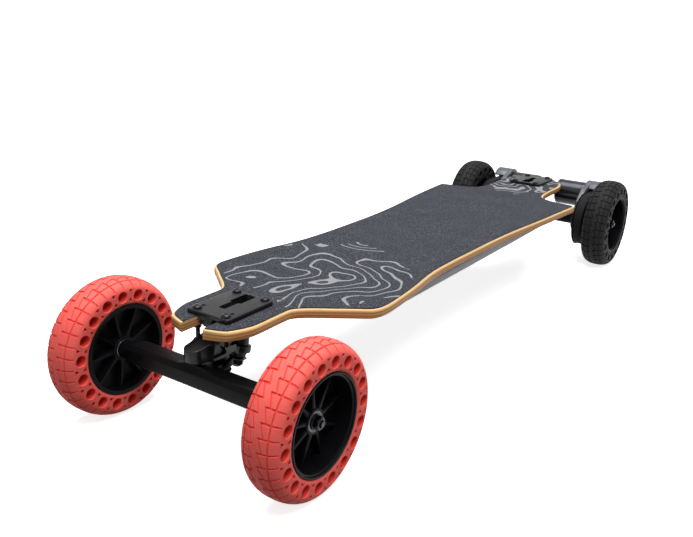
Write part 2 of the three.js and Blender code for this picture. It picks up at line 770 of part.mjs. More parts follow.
// The arm between the two hinges: a nose over the axle, a seat for the lower kingpin, and
// the ring that the upper kingpin passes through
function arm() {
  const [seatNear, seatFar] = seatEnds(lowerKingpinTilt, lowerRingPlace, lowerRingHeight, lowerSeatReach);
  const bossTop = (seatNear[1] + seatFar[1]) / 2 + lowerKingpinGrip;
  const ringLine = upperRingHeight
    + (upperRingPlace - armWaistEnd) * Math.tan(upperKingpinTilt * degree);
  const side = sidePrism([
    [noseLowFront, noseBottom], seatNear, seatFar, [armWaistEnd, ringLine - ringHalf],
    [upperRingPlace, upperRingHeight - ringHalf], [upperRingPlace, upperRingHeight + ringHalf],
    [armWaistEnd, ringLine + ringHalf], [armWaistStart, bossTop - armBossDrop],
    [noseTopEnd + noseChamfer, bossTop], [noseTopEnd, noseTopBack],
    [noseFront + noseChamfer, noseTopFront], [noseFront, noseTopFront - noseChamfer],
  ], -armHalfWidth, armHalfWidth);
  const plan = prism([
    ...arc(noseRadius, fullCircle / 2, fullCircle, noseArcSteps, 0, noseFront + noseRadius),
    [armHalfWidth, noseWideStart], [armHalfWidth, armWaistStart], [armWaistHalfWidth, armWaistEnd],
    [armWaistHalfWidth, upperRingPlace], [-armWaistHalfWidth, upperRingPlace],
    [-armWaistHalfWidth, armWaistEnd], [-armHalfWidth, armWaistStart], [-armHalfWidth, noseWideStart],
  ], beamBottom, plateUnderside);
  const room = ringHalf + ringRadius;
  const ringRooms = onUpperKingpin(joined(
    rod(ringRadius + gap, ringHalf, room, ringSides),
    rod(ringRadius + gap, -room, -ringHalf, ringSides)));
  const ring = onUpperKingpin(rod(ringRadius, -ringHalf, ringHalf, ringSides));
  const boss = onLowerKingpin(
    rod(armBossRadius, lowerSeatReach, lowerSeatReach + lowerKingpinGrip, ringSides));
  const post = rod(pivotPinRadius, noseTopFront - noseChamfer, upperPivotHeight + pivotTipLength,
    kingpinSides);
  const top = plateUnderside - lowerRingHeight;
  const cup = rod(pivotPinRadius + pivotRunGap, noseBottom - overrun,
    lowerPivotHeight + pivotTipLength + pivotRunGap, kingpinSides);
  return cut(
    joined(cut(side.intersect(plan), ringRooms), ring, boss, moved(post, 0, upperPivotPlace, 0)),
    onUpperKingpin(rod(ringHoleRadius, -room, room, ringSides)),
    onLowerKingpin(rod(kingpinRadius + gap, 0, top, kingpinSides)),
    onLowerKingpin(rod(kingpinHeadRadius + 2 * gap, lowerHeadReach - gap, top, kingpinSides)),
    moved(cup, 0, lowerPivotPlace, 0),
  );
}

// The hanger: beam, collars that hold the axle, pivot pin and ring
function hanger() {
  const c = beamChamfer;
  const core = [
    [beamFront, beamBottom + c], [beamFront + c, beamBottom], [beamBack - c, beamBottom],
    [beamBack, beamBottom + c], [beamBack, beamTop - c], [beamBack - c, beamTop],
    [beamFront + c, beamTop], [beamFront, beamTop - c],
  ];
  const eighth = fullCircle / core.length;
  const first = (fullCircle + eighth) / 2;
  const roundEnd = arc(collarRadius, first, first + fullCircle - eighth, core.length - 1);
  const atX = (outline, x) => outline.map(([y, z]) => [x, y, z]);
  const beam = loft([
    atX(roundEnd, -collarStart), atX(core, -beamCoreHalfLength),
    atX(core, beamCoreHalfLength), atX(roundEnd, collarStart),
  ]);
  const rib = frontPrism([
    [-ribHalfLength, beamTop - c], [ribHalfLength, beamTop - c],
    [ribTopHalfLength, ribPeak], [-ribTopHalfLength, ribPeak],
  ], ribFront, ribBack);
  const collars = laidAlongX(turned([
    [0, -collarEnd], [collarEndRadius, -collarEnd], [collarEndRadius, -collarConeEnd],
    [collarRadius, -collarConeStart], [collarRadius, collarConeStart],
    [collarEndRadius, collarConeEnd], [collarEndRadius, collarEnd], [0, collarEnd],
  ], collarSides));
  const ring = onLowerKingpin(rod(ringRadius, -ringHalf, ringHalf, ringSides));
  const ringWeb = box([-ringWebHalfWidth, 0, lowerRingHeight - ringWebThickness / 2],
    [ringWebHalfWidth, lowerRingPlace, lowerRingHeight + ringWebThickness / 2]);
  const pinRoot = cone(pivotPinRootRadius, pivotPinRadius, beamBottom + c, noseBottom - overrun,
    kingpinSides);
  const pinTip = rod(pivotPinRadius, beamTop, lowerPivotHeight + pivotTipLength, kingpinSides);
  const pin = moved(joined(pinRoot, pinTip), 0, lowerPivotPlace, 0);
  const room = ringHalf + ringRadius;
  const bore = laidAlongX(rod(axleRadius + gap, -collarEnd - overrun, collarEnd + overrun, axleSides));
  return cut(
    joined(beam, rib, collars, ring, ringWeb, pin),
    onLowerKingpin(rod(ringHoleRadius, -room, room, ringSides)),
    bore,
  );
}

// Belt drive: distances from the board's middle run along Z, and the axle lies at 0, 0
function toothOutline(teeth, pitchRadius, shares) {
  return Array.from({ length: teeth }, (_, k) => shares.map(([along, depth]) => {
    const radius = pitchRadius - pitchLineOffset - depth * toothDepth;
    const angle = (k + along) * fullTurn / teeth;
    return [radius * Math.cos(angle), radius * Math.sin(angle)];
  })).flat();
}

function flanges(pitchRadius, sides) {
  const radius = pitchRadius - pitchLineOffset + flangeHeight;
  return [rod(radius, pulleyStart, bandStart, sides), rod(radius, bandEnd, pulleyEnd, sides)];
}

// The wheel's pulley, with the drum that carries it on the rim's spokes
function wheelPulley() {
  const teeth = prism(toothOutline(wheelTeeth, wheelPitchRadius, wheelToothShares), pulleyStart, pulleyEnd);
  const inside = wheelPitchRadius - pitchLineOffset - toothDepth - pulleyBandWall;
  const webStart = pulleyEnd - pulleyWebThickness;
  const hollow = rod(inside, pulleyStart - overrun, webStart, flangeSides);
  const bore = rod(collarEndRadius + pulleyBoreGap, pulleyStart, pulleyEnd + overrun, adaptorSides);
  const drum = turned([
    [adaptorRadius - adaptorWall, webStart], [adaptorRadius, webStart],
    [adaptorRadius, adaptorEnd], [adaptorRadius - adaptorWall, adaptorEnd],
  ], adaptorSides);
  const body = joined(teeth, ...flanges(wheelPitchRadius, flangeSides));
  return joined(cut(body, hollow, bore), drum);
}

function motorPulley() {
  const teeth = prism(toothOutline(motorTeeth, motorPitchRadius, motorToothShares), pulleyStart, pulleyEnd);
  const shaft = rod(shaftRadius, mountInnerFace - motorBoreDepth + gap, pulleyEnd, axleSides);
  const body = joined(teeth, shaft, ...flanges(motorPitchRadius, motorFlangeSides));
  return moved(body, motorBehindAxle, motorAboveAxle, 0);
}

// The loop that runs round both pulleys, this far outside their pitch circles
function beltLoop(offset) {
  const large = wheelPitchRadius + offset;
  const small = motorPitchRadius + offset;
  const lean = Math.acos((large - small) / driveSpacing) / degree;
  return [
    ...arc(small, driveAngle - lean, driveAngle + lean, beltMotorSteps, motorBehindAxle, motorAboveAxle),
    ...arc(large, driveAngle + lean, driveAngle - lean + fullCircle, beltWheelSteps),
  ];
}

function belt() {
  const start = bandStart + beltSideGap;
  const end = start + beltWidth;
  const back = prism(beltLoop(beltBackOverPitch), start, end);
  return cut(back, prism(beltLoop(gap - pitchLineOffset), start - overrun, end + overrun));
}

// The motor mount: a plate clamped on the axle's collar, and a hood over the motor pulley
function motorMount() {
  const lean = Math.acos((mountClampRadius - mountEndRadius) / driveSpacing) / degree;
  const crest = mountCrestShares.map(
    ([along, up]) => [motorBehindAxle + along * mountEndRadius, motorAboveAxle + up * mountEndRadius]);
  const plate = prism([
    ...arc(mountEndRadius, driveAngle - lean, driveAngle + lean - mountCrestTurn, mountEndSteps,
      motorBehindAxle, motorAboveAxle),
    ...crest,
    [0, mountShoulderShare * mountClampRadius],
    ...arc(mountClampRadius, driveAngle + lean, driveAngle - lean + fullCircle, mountClampSteps),
  ], mountInnerFace, mountOuterFace);
  const hoodOutline = [
    ...arc(mountEndRadius, hoodStartAngle, hoodEndAngle, hoodSteps),
    ...arc(mountEndRadius - hoodWall, hoodEndAngle, hoodStartAngle, hoodSteps),
  ];
  const hood = moved(prism(hoodOutline, mountOuterFace - gap, hoodEnd), motorBehindAxle, motorAboveAxle, 0);
  const start = mountInnerFace - overrun;
  const end = mountOuterFace + overrun;
  const shaftHole = rod(mountShaftHole, start, end, axleSides);
  return cut(joined(plate, hood), rod(collarRadius + gap, start, end, collarSides),
    moved(shaftHole, motorBehindAxle, motorAboveAxle, 0));
}

function motor() {
  const end = mountInnerFace - gap;
  const groove = motorStart + motorGroovePlace;
  const low = motorRadius - motorEdgeRound;
  const deep = motorRadius - motorGrooveDepth;
  const body = turned([
    [0, motorStart], [low, motorStart], [motorRadius, motorStart + motorEdgeRound],
    [motorRadius, groove], [deep, groove], [deep, groove + motorGrooveWidth],
    [motorRadius, groove + motorGrooveWidth],
    [motorRadius, end - motorEdgeRound], [low, end], [0, end],
  ], motorSides);
  const bore = rod(shaftRadius + gap, mountInnerFace - motorBoreDepth, end + overrun, axleSides);
  return moved(cut(body, bore), motorBehindAxle, motorAboveAxle, 0);
}

// Enclosure
function packOutline(halfWidth, front, rear, corner) {
  const wide = halfWidth - corner;
  return [
    [-wide, front], [wide, front], [halfWidth, front + corner], [halfWidth, rear - corner],
    [wide, rear], [-wide, rear], [-halfWidth, rear - corner], [-halfWidth, front + corner],
  ];
}

// The tray's outer form, or its inner form where wall is its wall's thickness
function trayForm(wall, top) {
  const level = (halfWidth, endInset, z) => packOutline(halfWidth - wall,
    enclosureFront + endInset + wall, enclosureRear - endInset - wall, enclosureCorner)
    .map(([x, y]) => [x, y, z]);
  return loft([
    level(enclosureFloorHalfWidth, enclosureEndSlope, enclosureFloor + wall),
    level(enclosureHalfWidth, 0, enclosureShoulder),
    level(enclosureHalfWidth, 0, top),
  ]);
}

// A rod or ring drawn about Z and laid along X on the -X side wall, its +Z side inwards
function onSideWall(solid, y) {
  return moved(laidAlongX(solid), -enclosureHalfWidth, y, sidePieceHeight);
}

function onRearWall(solid) {
  return moved(solid.rotate([-90, 0, 0]), glandX, enclosureRear, sidePieceHeight);
}

function enclosure(board) {
  const inDeck = deckBottom + gap;
  const tray = cut(trayForm(0, inDeck), trayForm(enclosureWall, inDeck + overrun));
  const holeStart = -overrun;
  const holeEnd = enclosureWall + overrun;
  return cut(tray, moved(board, 0, 0, -gasketThickness - 2 * gap),
    onSideWall(rod(buttonRadius + gap, holeStart, holeEnd, sidePieceSides), buttonPlace),
    onSideWall(rod(portRadius + gap, holeStart, holeEnd, sidePieceSides), portPlace),
    onRearWall(rod(glandRadius + gap, -holeEnd, -holeStart, sidePieceSides)));
}

function gasket(board) {
  const outer = packOutline(enclosureHalfWidth, enclosureFront, enclosureRear, enclosureCorner);
  const inner = packOutline(enclosureHalfWidth - gasketWidth, enclosureFront + gasketWidth,
    enclosureRear - gasketWidth, enclosureCorner);
  const frame = cut(prism(outer, enclosureShoulder, deckBottom + gap),
    prism(inner, enclosureFloor, plateUnderside));
  return cut(frame.intersect(moved(board, 0, 0, -gasketThickness - gap)), moved(board, 0, 0, -gap));
}

function pack(halfWidth, start, length, height) {
  const end = start + length;
  const level = (inset, z) => packOutline(halfWidth - inset, start + inset, end - inset, packChamfer)
    .map(([x, y]) => [x, y, z]);
  const top = packSeat + height;
  return loft([level(0, packSeat), level(0, top - packChamfer), level(packChamfer, top)]);
}

function powerButton() {
  const lipStart = enclosureWall + gap;
  return onSideWall(joined(
    rod(buttonRadius, -buttonProud, buttonLength - buttonProud, sidePieceSides),
    rod(buttonLipRadius, lipStart, lipStart + buttonLipThickness, sidePieceSides)), buttonPlace);
}

function chargePort() {
  const outer = -gap - portFlangeThickness;
  return onSideWall(joined(
    rod(portRadius, outer, portLength, sidePieceSides),
    rod(portFlangeRadius, outer, -gap, sidePieceSides)), portPlace);
}

// The rubber cap: a disc over the port, and a tab that ends in an upright knuckle
function chargePortCap() {
  const inner = -portFlangeThickness - 2 * gap;
  const disc = onSideWall(rod(capRadius, inner - capThickness, inner, sidePieceSides), portPlace);
  const knuckleX = -enclosureHalfWidth - gap - capKnuckleRadius;
  const knuckleY = portPlace + capRadius + capTabLength;
  const low = sidePieceHeight - capTabWidth / 2;
  const high = sidePieceHeight + capTabWidth / 2;
  const tab = box([knuckleX - capKnuckleRadius, portPlace, low], [knuckleX, knuckleY, high]);
  const knuckle = moved(rod(capKnuckleRadius, low, high, sidePieceSides), knuckleX, knuckleY, 0);
  return joined(disc, tab, knuckle);
}

function cableGland() {
  const outer = gap + glandFlangeThickness;
  return onRearWall(turned([
    [glandBoreRadius, outer - glandLength], [glandRadius, outer - glandLength],
    [glandRadius, gap], [glandFlangeRadius, gap],
    [glandFlangeRadius, outer], [glandBoreRadius, outer],
  ], sidePieceSides));
}

// The assembly
const board = deck();
addMesh('deck', board, 'maple');
addMesh('grip_tape', gripTape(board), 'grip');

for (const [place, end] of [['front', -1], ['rear', 1]]) {
  const upperPin = kingpin(upperSeatReach, upperNutReach, upperHeadReach);
  const lowerPin = kingpin(lowerSeatReach, lowerSeatReach, lowerHeadReach);
  const upperSpool = bushings(tallBushingHeight, middleBushingHeight);
  const lowerSpool = bushings(shortBushingHeight, shortBushingHeight);
  const axle = laidAlongX(rod(axleRadius, -axleHalfLength, axleHalfLength, axleSides));
  addMesh(`${place}_baseplate`, atTruck(basePlate(), end), 'blackMetal');
  addMesh(`${place}_upper_kingpin`, atTruck(onUpperKingpin(upperPin), end), 'darkSteel');
  addMesh(`${place}_upper_bushings`, atTruck(onUpperKingpin(upperSpool), end), 'urethane');
  addMesh(`${place}_arm`, atTruck(arm(), end), 'blackMetal');
  addMesh(`${place}_lower_kingpin`, atTruck(onLowerKingpin(lowerPin), end), 'darkSteel');
  addMesh(`${place}_lower_bushings`, atTruck(onLowerKingpin(lowerSpool), end), 'urethane');
  addMesh(`${place}_hanger`, atTruck(hanger(), end), 'blackMetal');
  addMesh(`${place}_axle`, atTruck(axle, end), 'steel');
  boltPlaces.forEach(([x, y], k) => {
    const bolt = moved(truckBolt(), x, y, 0);
    addMesh(`${place}_truck_bolt_${k + 1}`, atTruck(bolt, end), 'darkSteel');
  });
}

const wheels = [
  ['front_left', -1, -1, frontLeftTurn, 'redRubber'],
  ['front_right', -1, 1, frontRightTurn, 'redRubber'],
  ['rear_left', 1, -1, 0, 'blackRubber'],
  ['rear_right', 1, 1, 0, 'blackRubber'],
];
for (const [place, end, side, turn, rubber] of wheels) {
  addMesh(`${place}_tyre`, atCorner(tyre(turn), end, side), rubber);
  addMesh(`${place}_rim`, atCorner(rim(turn), end, side), 'blackPlastic');
  addMesh(`${place}_bearings`, atCorner(bearings(), end, side), 'steel');
  addMesh(`${place}_axle_nut`, atCorner(axleNut(), end, side), 'darkSteel');
}

for (const [place, side] of [['left', -1], ['right', 1]]) {
  addMesh(`${place}_wheel_pulley`, onDriveSide(wheelPulley(), side), 'blackPlastic');
  addMesh(`${place}_belt`, onDriveSide(belt(), side), 'blackRubber');
  addMesh(`${place}_motor_mount`, onDriveSide(motorMount(), side), 'greyMetal');
  addMesh(`${place}_motor`, onDriveSide(motor(), side), 'greyMetal');
  addMesh(`${place}_motor_pulley`, onDriveSide(motorPulley(), side), 'steel');
}

addMesh('enclosure', enclosure(board), 'greyPlastic');
addMesh('enclosure_gasket', gasket(board), 'seal');
addMesh('battery_pack', pack(batteryHalfWidth, batteryStart, batteryLength, batteryHeight), 'wrap');
addMesh('motor_controller',
  pack(controllerHalfWidth, controllerStart, controllerLength, controllerHeight), 'darkSteel');
addMesh('power_button', powerButton(), 'blackPlastic');
addMesh('charge_port', chargePort(), 'steel');
addMesh('charge_port_cap', chargePortCap(), 'seal');
addMesh('cable_gland', cableGland(), 'blackPlastic');

export default part;
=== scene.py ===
import math

import bmesh
import bpy
import numpy as np
from mathutils import Matrix, Vector


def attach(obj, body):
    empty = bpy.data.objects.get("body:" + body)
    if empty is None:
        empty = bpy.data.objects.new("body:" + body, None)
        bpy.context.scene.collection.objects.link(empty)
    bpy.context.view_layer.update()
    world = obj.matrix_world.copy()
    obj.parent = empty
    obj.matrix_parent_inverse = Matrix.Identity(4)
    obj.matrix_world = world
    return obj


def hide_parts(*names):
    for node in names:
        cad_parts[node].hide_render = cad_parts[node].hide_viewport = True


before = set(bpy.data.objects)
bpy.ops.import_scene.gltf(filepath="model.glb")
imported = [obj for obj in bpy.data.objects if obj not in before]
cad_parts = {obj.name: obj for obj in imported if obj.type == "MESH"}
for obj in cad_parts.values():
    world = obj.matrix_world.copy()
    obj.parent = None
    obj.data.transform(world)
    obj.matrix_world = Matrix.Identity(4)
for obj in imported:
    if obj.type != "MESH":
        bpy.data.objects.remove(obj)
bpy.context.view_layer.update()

SCENE = bpy.context.scene

# Sizes in millimetres. Heights are measured up from the axles' middle line, and places along a
# truck are measured from its axle towards the middle of the board
MM = 0.001
GAP = 0.3
HALF_WHEELBASE = 482.5
AXLE_HEIGHT = 82.5
WHEEL_PLANE = 141.4

# Wheels, each with its end (-1 at the front), its side (1 at +X) and the turn that it stands at
WHEELS = (("front_left", -1, -1, -2.4), ("front_right", -1, 1, 10.1),
          ("rear_left", 1, -1, 0.0), ("rear_right", 1, 1, 0.0))
TYRE_RADIUS = 82.5
HALF_TYRE_WIDTH = 22.7
TYRE_SEAT = 54.4
TREAD_DEPTH = 1.7
TREAD_STAGGER = 2.5
GROOVE_HALF = 1.25
SLANTED_HALF = 1.0
RING_GROOVE = 13.8
PITCH_COUNT = 36
HOLE_CIRCLE = 65.0
HOLE_COUNT = 18
HUB_OUTER = 8.6
HUB_INNER = -17.4
RIM_INNER = 49.1
RIM_RADIUS = 54.1
HALF_RIM_WIDTH = 22.3
SPOKE_COUNT = 9
BEARING_RADIUS = 11
BEARING_WIDTH = 7
AXLE_RADIUS = 4
AXLE_HALF_LENGTH = 159.5

# Deck and grip tape
DECK_TOP = 65.9
DECK_BOTTOM = 54.9
DECK_EDGE_ROUND = 2.6
DECK_NOSE_END = 497
DECK_TAIL_END = 500
DECK_HALF_WIDTH = 131.5
DECK_SHOULDER = 125.5
DECK_SAG = 5.5
SAG_REACH = 397.5
DECK_CURL = 2.5
CURL_REACH = 306
GRIP_THICKNESS = 1
GRIP_INSET = 2.6
OPENING_LOW = 40
OPENING_HIGH = 80
SLOT_HALF_WIDTH = 15
SLOT_END = 78.3

# Trucks. A ring is its place, its height and the tilt of its kingpin in degrees
PLATE_UNDERSIDE = 67.5
PLATE_TOP = 72.5
PLATE_HALF_WIDTH = 30
PLATE_OUTER_END = 7.0
PLATE_INNER_END = 83.0
PLATE_JOINT = 70
CASTING_END = 78.0
CASTING_ROOT = 22.0
CASTING_FOOT = 59
CASTING_HALF_WIDTH = 14.2
HOUSING_HALF_WIDTH = 8.6
BOLT_X = 20.65
BOLT_PLACES = [(x, s) for s in (14.85, 78.35) for x in (-BOLT_X, BOLT_X)]
BOLT_END_LENGTH = 17
SMALL_HOLE_PLACE = 24.3
UPPER_PIVOT = 10
LOWER_PIVOT = -6
PIVOT_CUP_RADIUS = 3.8
UPPER_RING = (58, 16.5, 14)
LOWER_RING = (28, 10.5, -6)
RING_RADIUS = 13.5
RING_HALF = 4
RING_HOLE = 7.8
RING_ROOM = RING_HALF + RING_RADIUS
KINGPIN_RADIUS = 5
BUSHING_START = RING_HALF + GAP
UPPER_BUSHINGS = (10.5, 7)
LOWER_BUSHINGS = (6.5, 6.5)
CUP_ROOM = 2.1
CUP_RADIUS = 10.8
UPPER_SEAT = BUSHING_START + UPPER_BUSHINGS[0] + CUP_ROOM
UPPER_NUT = BUSHING_START + UPPER_BUSHINGS[1] + CUP_ROOM
LOWER_SEAT = BUSHING_START + LOWER_BUSHINGS[0] + CUP_ROOM
UPPER_HEAD = UPPER_SEAT + 19.3
LOWER_HEAD = LOWER_SEAT + 10.8
ARM_HALF_WIDTH = 14
BOSS_LENGTH = 10.5
BEAM_SECTION = [(-15.5, -5.5), (7, -5.5), (12, -0.5), (12, 10.5), (7, 15.5), (-10.5, 15.5), (-15.5, 10.5)]
BEAM_MIDDLE = (-1.75, 5)
BEAM_BLEND = 16
COLLAR_RADIUS = 13
COLLAR_END = 123.7

# Belt drive, from the rear axle's middle line
WHEEL_TEETH = 60
WHEEL_PITCH = 47.746
MOTOR_TEETH = 15
MOTOR_PITCH = 11.937
PITCH_LINE = 0.57
TOOTH_DEPTH = 2.0
BELT_BACK = 1.3
BELT_WIDTH = 15
MOTOR_Y = 59.5
MOTOR_Z = 35.0
DRIVE_SPACING = 69.033
DRIVE_ANGLE = 30.47
MOTOR_RADIUS = 25
MOTOR_START = 20
MOTOR_SCREW_CIRCLE = 15
SHAFT_RADIUS = 4
MOUNT_INNER = 80
MOUNT_OUTER = 89
CLAMP_RADIUS = 24
MOUNT_END_RADIUS = 30.5
HOOD_END = 113
PULLEY_START = 91.6
PULLEY_END = 110.6
BAND_START = 92.8
BAND_END = 109.4
FLANGES = ((PULLEY_START, BAND_START), (BAND_END, PULLEY_END))

# Enclosure
TRAY_FRONT = -240
TRAY_REAR = 280
TRAY_HALF_WIDTH = 103
TRAY_FLOOR_HALF_WIDTH = 82
TRAY_FLOOR = 22.5
TRAY_SHOULDER = 39
TRAY_WALL = 2.6
TRAY_SLOPE = 16
SIDE_PIECE_HEIGHT = 44.5
BUTTON_Y = 150
PORT_Y = 190
CAP_LENGTH = 8.4
GLAND_X = 60

# The deck's outline: shares of its length to the nose or tail, and of its greatest half width there
NOSE_SHARES = [
    (1, 0.15), (0.984, 0.307), (0.968, 0.351), (0.934, 0.406), (0.907, 0.418), (0.817, 0.418),
    (0.797, 0.43), (0.769, 0.518), (0.732, 0.693), (0.7, 0.845), (0.686, 0.916), (0.674, 0.964),
    (0.646, 1), (0.59, 0.996), (0.489, 0.956), (0.348, 0.873), (0.221, 0.853), (0.101, 0.857),
]
TAIL_SHARES = [
    (0.032, 0.825), (0.172, 0.856), (0.318, 0.913), (0.412, 0.947), (0.48, 0.966), (0.602, 1),
    (0.616, 0.989), (0.626, 0.722), (0.636, 0.624), (0.654, 0.517), (0.698, 0.449), (0.76, 0.433),
    (0.85, 0.433), (0.914, 0.403), (0.952, 0.319), (0.992, 0.167), (1, 0.15),
]


# Meshes and their cuts, all in millimetres until a piece is made

def reworked(mesh, change):
    """The mesh after a change to it in bmesh."""
    work = bmesh.new()
    work.from_mesh(mesh)
    change(work)
    work.to_mesh(mesh)
    work.free()
    return mesh


def mesh_of(points, faces):
    mesh = bpy.data.meshes.new("work")
    mesh.from_pydata([tuple(map(float, p)) for p in points], [], [tuple(f) for f in faces])
    return reworked(mesh, lambda work: bmesh.ops.recalc_face_normals(work, faces=work.faces))


def loft(rings):
    """Rings of points, as many in each, joined in order and capped."""
    count = len(rings[0])
    points = [p for ring in rings for p in ring]
    last = (len(rings) - 1) * count
    faces = [list(range(count)), list(range(last, last + count))]
    for start in range(0, last, count):
        for k in range(count):
            a, b = start + k, start + (k + 1) % count
            faces.append((a, b, b + count, a + count))
    return mesh_of(points, faces)


def turned(profile, sides):
    """(radius, height) pairs turned about Z: a closed ring, or a solid that starts and ends on Z."""
    solid = profile[0][0] == 0
    inner = profile[1:-1] if solid else profile
    count = len(inner)
    points, faces = [], []
    for s in range(sides):
        angle = math.tau * s / sides
        points += [(r * math.cos(angle), r * math.sin(angle), z) for r, z in inner]
    for s in range(sides):
        here, there = s * count, (s + 1) % sides * count
        for k in range(count - 1 if solid else count):
            nxt = (k + 1) % count
            faces.append((here + k, there + k, there + nxt, here + nxt))
    if solid:
        points += [(0, 0, profile[0][1]), (0, 0, profile[-1][1])]
        low, high = len(points) - 2, len(points) - 1
        for s in range(sides):
            here, there = s * count, (s + 1) % sides * count
            faces.append((low, there, here))
            faces.append((high, here + count - 1, there + count - 1))
    return mesh_of(points, faces)


def rectangle(x0, y0, x1, y1):
    return [(x0, y0), (x1, y0), (x1, y1), (x0, y1)]


def prism(outline, low, high):
    return loft([[(x, y, z) for x, y in outline] for z in (low, high)])


def block(low, high):
    return prism(rectangle(*low[:2], *high[:2]), low[2], high[2])


def rod(radius, low, high, sides=32, edge=0.0):
    """A rod along Z, its ends rounded by edge."""
    if not edge:
        return turned([(0, low), (radius, low), (radius, high), (0, high)], sides)
    half = edge * 0.3
    return turned([
        (0, low), (radius - edge, low), (radius - half, low + half), (radius, low + edge),
        (radius, high - edge), (radius - half, high - half), (radius - edge, high), (0, high)], sides)


def disc(inner, outer, low, high, sides, across, down):
    """A disc or ring, chamfered round its outside by these sizes across and down."""
    return turned([
        (inner, low), (outer - across, low), (outer, low + down), (outer, high - down),
        (outer - across, high), (inner, high)], sides)


def hexagon(across, low, high, edge=0.7):
    """A hexagonal nut's body with its corners turned down at both ends."""
    corner = across / 2 / math.cos(math.pi / 6)
    blank = turned([(0, low), (corner, low), (corner, high), (0, high)], 6)
    keep = turned([
        (0, low), (across / 2, low), (corner + 0.1, low + edge),
        (corner + 0.1, high - edge), (across / 2, high), (0, high)], 48)
    return boolean("INTERSECT", blank, keep)


def arc(radius, start, end, steps, cx=0.0, cy=0.0):
    angles = [math.radians(start + (end - start) * k / steps) for k in range(steps + 1)]
    return [(cx + radius * math.cos(a), cy + radius * math.sin(a)) for a in angles]


def rounded_outline(points, radii, steps=5):
    """A closed outline with each corner rounded by its own radius."""
    outline = []
    for k, point in enumerate(points):
        corner = Vector(point)
        before = (Vector(points[k - 1]) - corner).normalized()
        after = (Vector(points[(k + 1) % len(points)]) - corner).normalized()
        radius = radii[k] if isinstance(radii, (list, tuple)) else radii
        if radius <= 0:
            outline.append(tuple(corner))
            continue
        half = before.angle(after) / 2
        reach = radius / math.tan(half)
        middle = corner + (before + after).normalized() * (radius / math.sin(half))
        first = corner + before * reach - middle
        last = corner + after * reach - middle
        turn = math.atan2(first.x * last.y - first.y * last.x, first.dot(last))
        for s in range(steps + 1):
            spin = Matrix.Rotation(turn * s / steps, 2)
            outline.append(tuple(middle + spin @ first))
    return outline


def mirrored(points):
    """Points up the right side of an outline, then their mirror image down the left."""
    return points + [(-x, y) for x, y in reversed(points)]


def both_ways(rows):
    """A profile's upper half, (radius, height) pairs, with its mirror image below before it."""
    return [(r, -z) for r, z in reversed(rows)] + rows


def moved(mesh, x=0.0, y=0.0, z=0.0):
    mesh.transform(Matrix.Translation((x, y, z)))
    return mesh


def spun(mesh, degrees, axis="Z"):
    mesh.transform(Matrix.Rotation(math.radians(degrees), 4, axis))
    return mesh


def around(mesh, count, start=0.0):
    """Copies of a mesh, evenly spaced about Z."""
    return [spun(mesh.copy(), start + 360 * k / count) for k in range(count)]


def soft(mesh, width, segments=2, angle=32.0):
    """Rounds the edges that are sharper than the angle."""
    def bevel(work):
        bmesh.ops.remove_doubles(work, verts=work.verts, dist=0.001)
        limit = math.radians(angle)
        sharp = [e for e in work.edges if len(e.link_faces) == 2 and e.calc_face_angle(0) > limit]
        bmesh.ops.bevel(work, geom=sharp, offset=width, offset_type="OFFSET", segments=segments,
                        profile=0.5, affect="EDGES", clamp_overlap=True)
    return reworked(mesh, bevel)


def merged(meshes):
    """Several meshes as one, for tools that don't touch each other."""
    def gather(work):
        for mesh in meshes:
            work.from_mesh(mesh)
    return reworked(bpy.data.meshes.new("work"), gather)


def boolean(operation, base, *tools):
    """The base cut by, joined with or kept inside each of the tools in turn."""
    holder = bpy.data.objects.new("work", base)
    SCENE.collection.objects.link(holder)
    helpers = []
    for tool in tools:
        helper = bpy.data.objects.new("tool", tool)
        SCENE.collection.objects.link(helper)
        helpers.append(helper)
        step = holder.modifiers.new("step", "BOOLEAN")
        step.operation = operation
        step.object = helper
        step.solver = "MANIFOLD"
    graph = bpy.context.evaluated_depsgraph_get()
    graph.update()
    result = bpy.data.meshes.new_from_object(holder.evaluated_get(graph))
    for o in [holder, *helpers]:
        bpy.data.objects.remove(o)
    if not result.vertices:
        raise RuntimeError("a cut left nothing")
    return result


def cut(base, *tools):
    return boolean("DIFFERENCE", base, *tools)


def joined(base, *tools):
    return boolean("UNION", base, *tools)


# Where the pieces go: end is -1 at the front and 1 at the rear, side is 1 at +X

ALONG_X = Matrix(((0, 0, 1, 0), (1, 0, 0, 0), (0, 1, 0, 0), (0, 0, 0, 1)))


def along_x(mesh):
    mesh.transform(ALONG_X)
    return mesh


def side_prism(outline, low, high):
    return along_x(prism(outline, low, high))


def at_truck(mesh, end):
    if end > 0:
        spun(mesh, 180)
    return moved(mesh, 0, end * HALF_WHEELBASE)


def at_corner(mesh, end, side):
    along_x(mesh)
    if side < 0:
        spun(mesh, 180)
    return moved(mesh, side * WHEEL_PLANE, end * HALF_WHEELBASE)


def at_motor(mesh):
    return moved(mesh, MOTOR_Y, MOTOR_Z)


def on_drive_side(mesh, side):
    along_x(mesh)
    if side < 0:
        mesh.transform(Matrix.Scale(-1, 4, (1, 0, 0)))
        mesh.flip_normals()
    return moved(mesh, 0, HALF_WHEELBASE)


def on_kingpin(mesh, ring):
    place, height, tilt = ring
    return moved(spun(mesh, -tilt, "X"), 0, place, height)


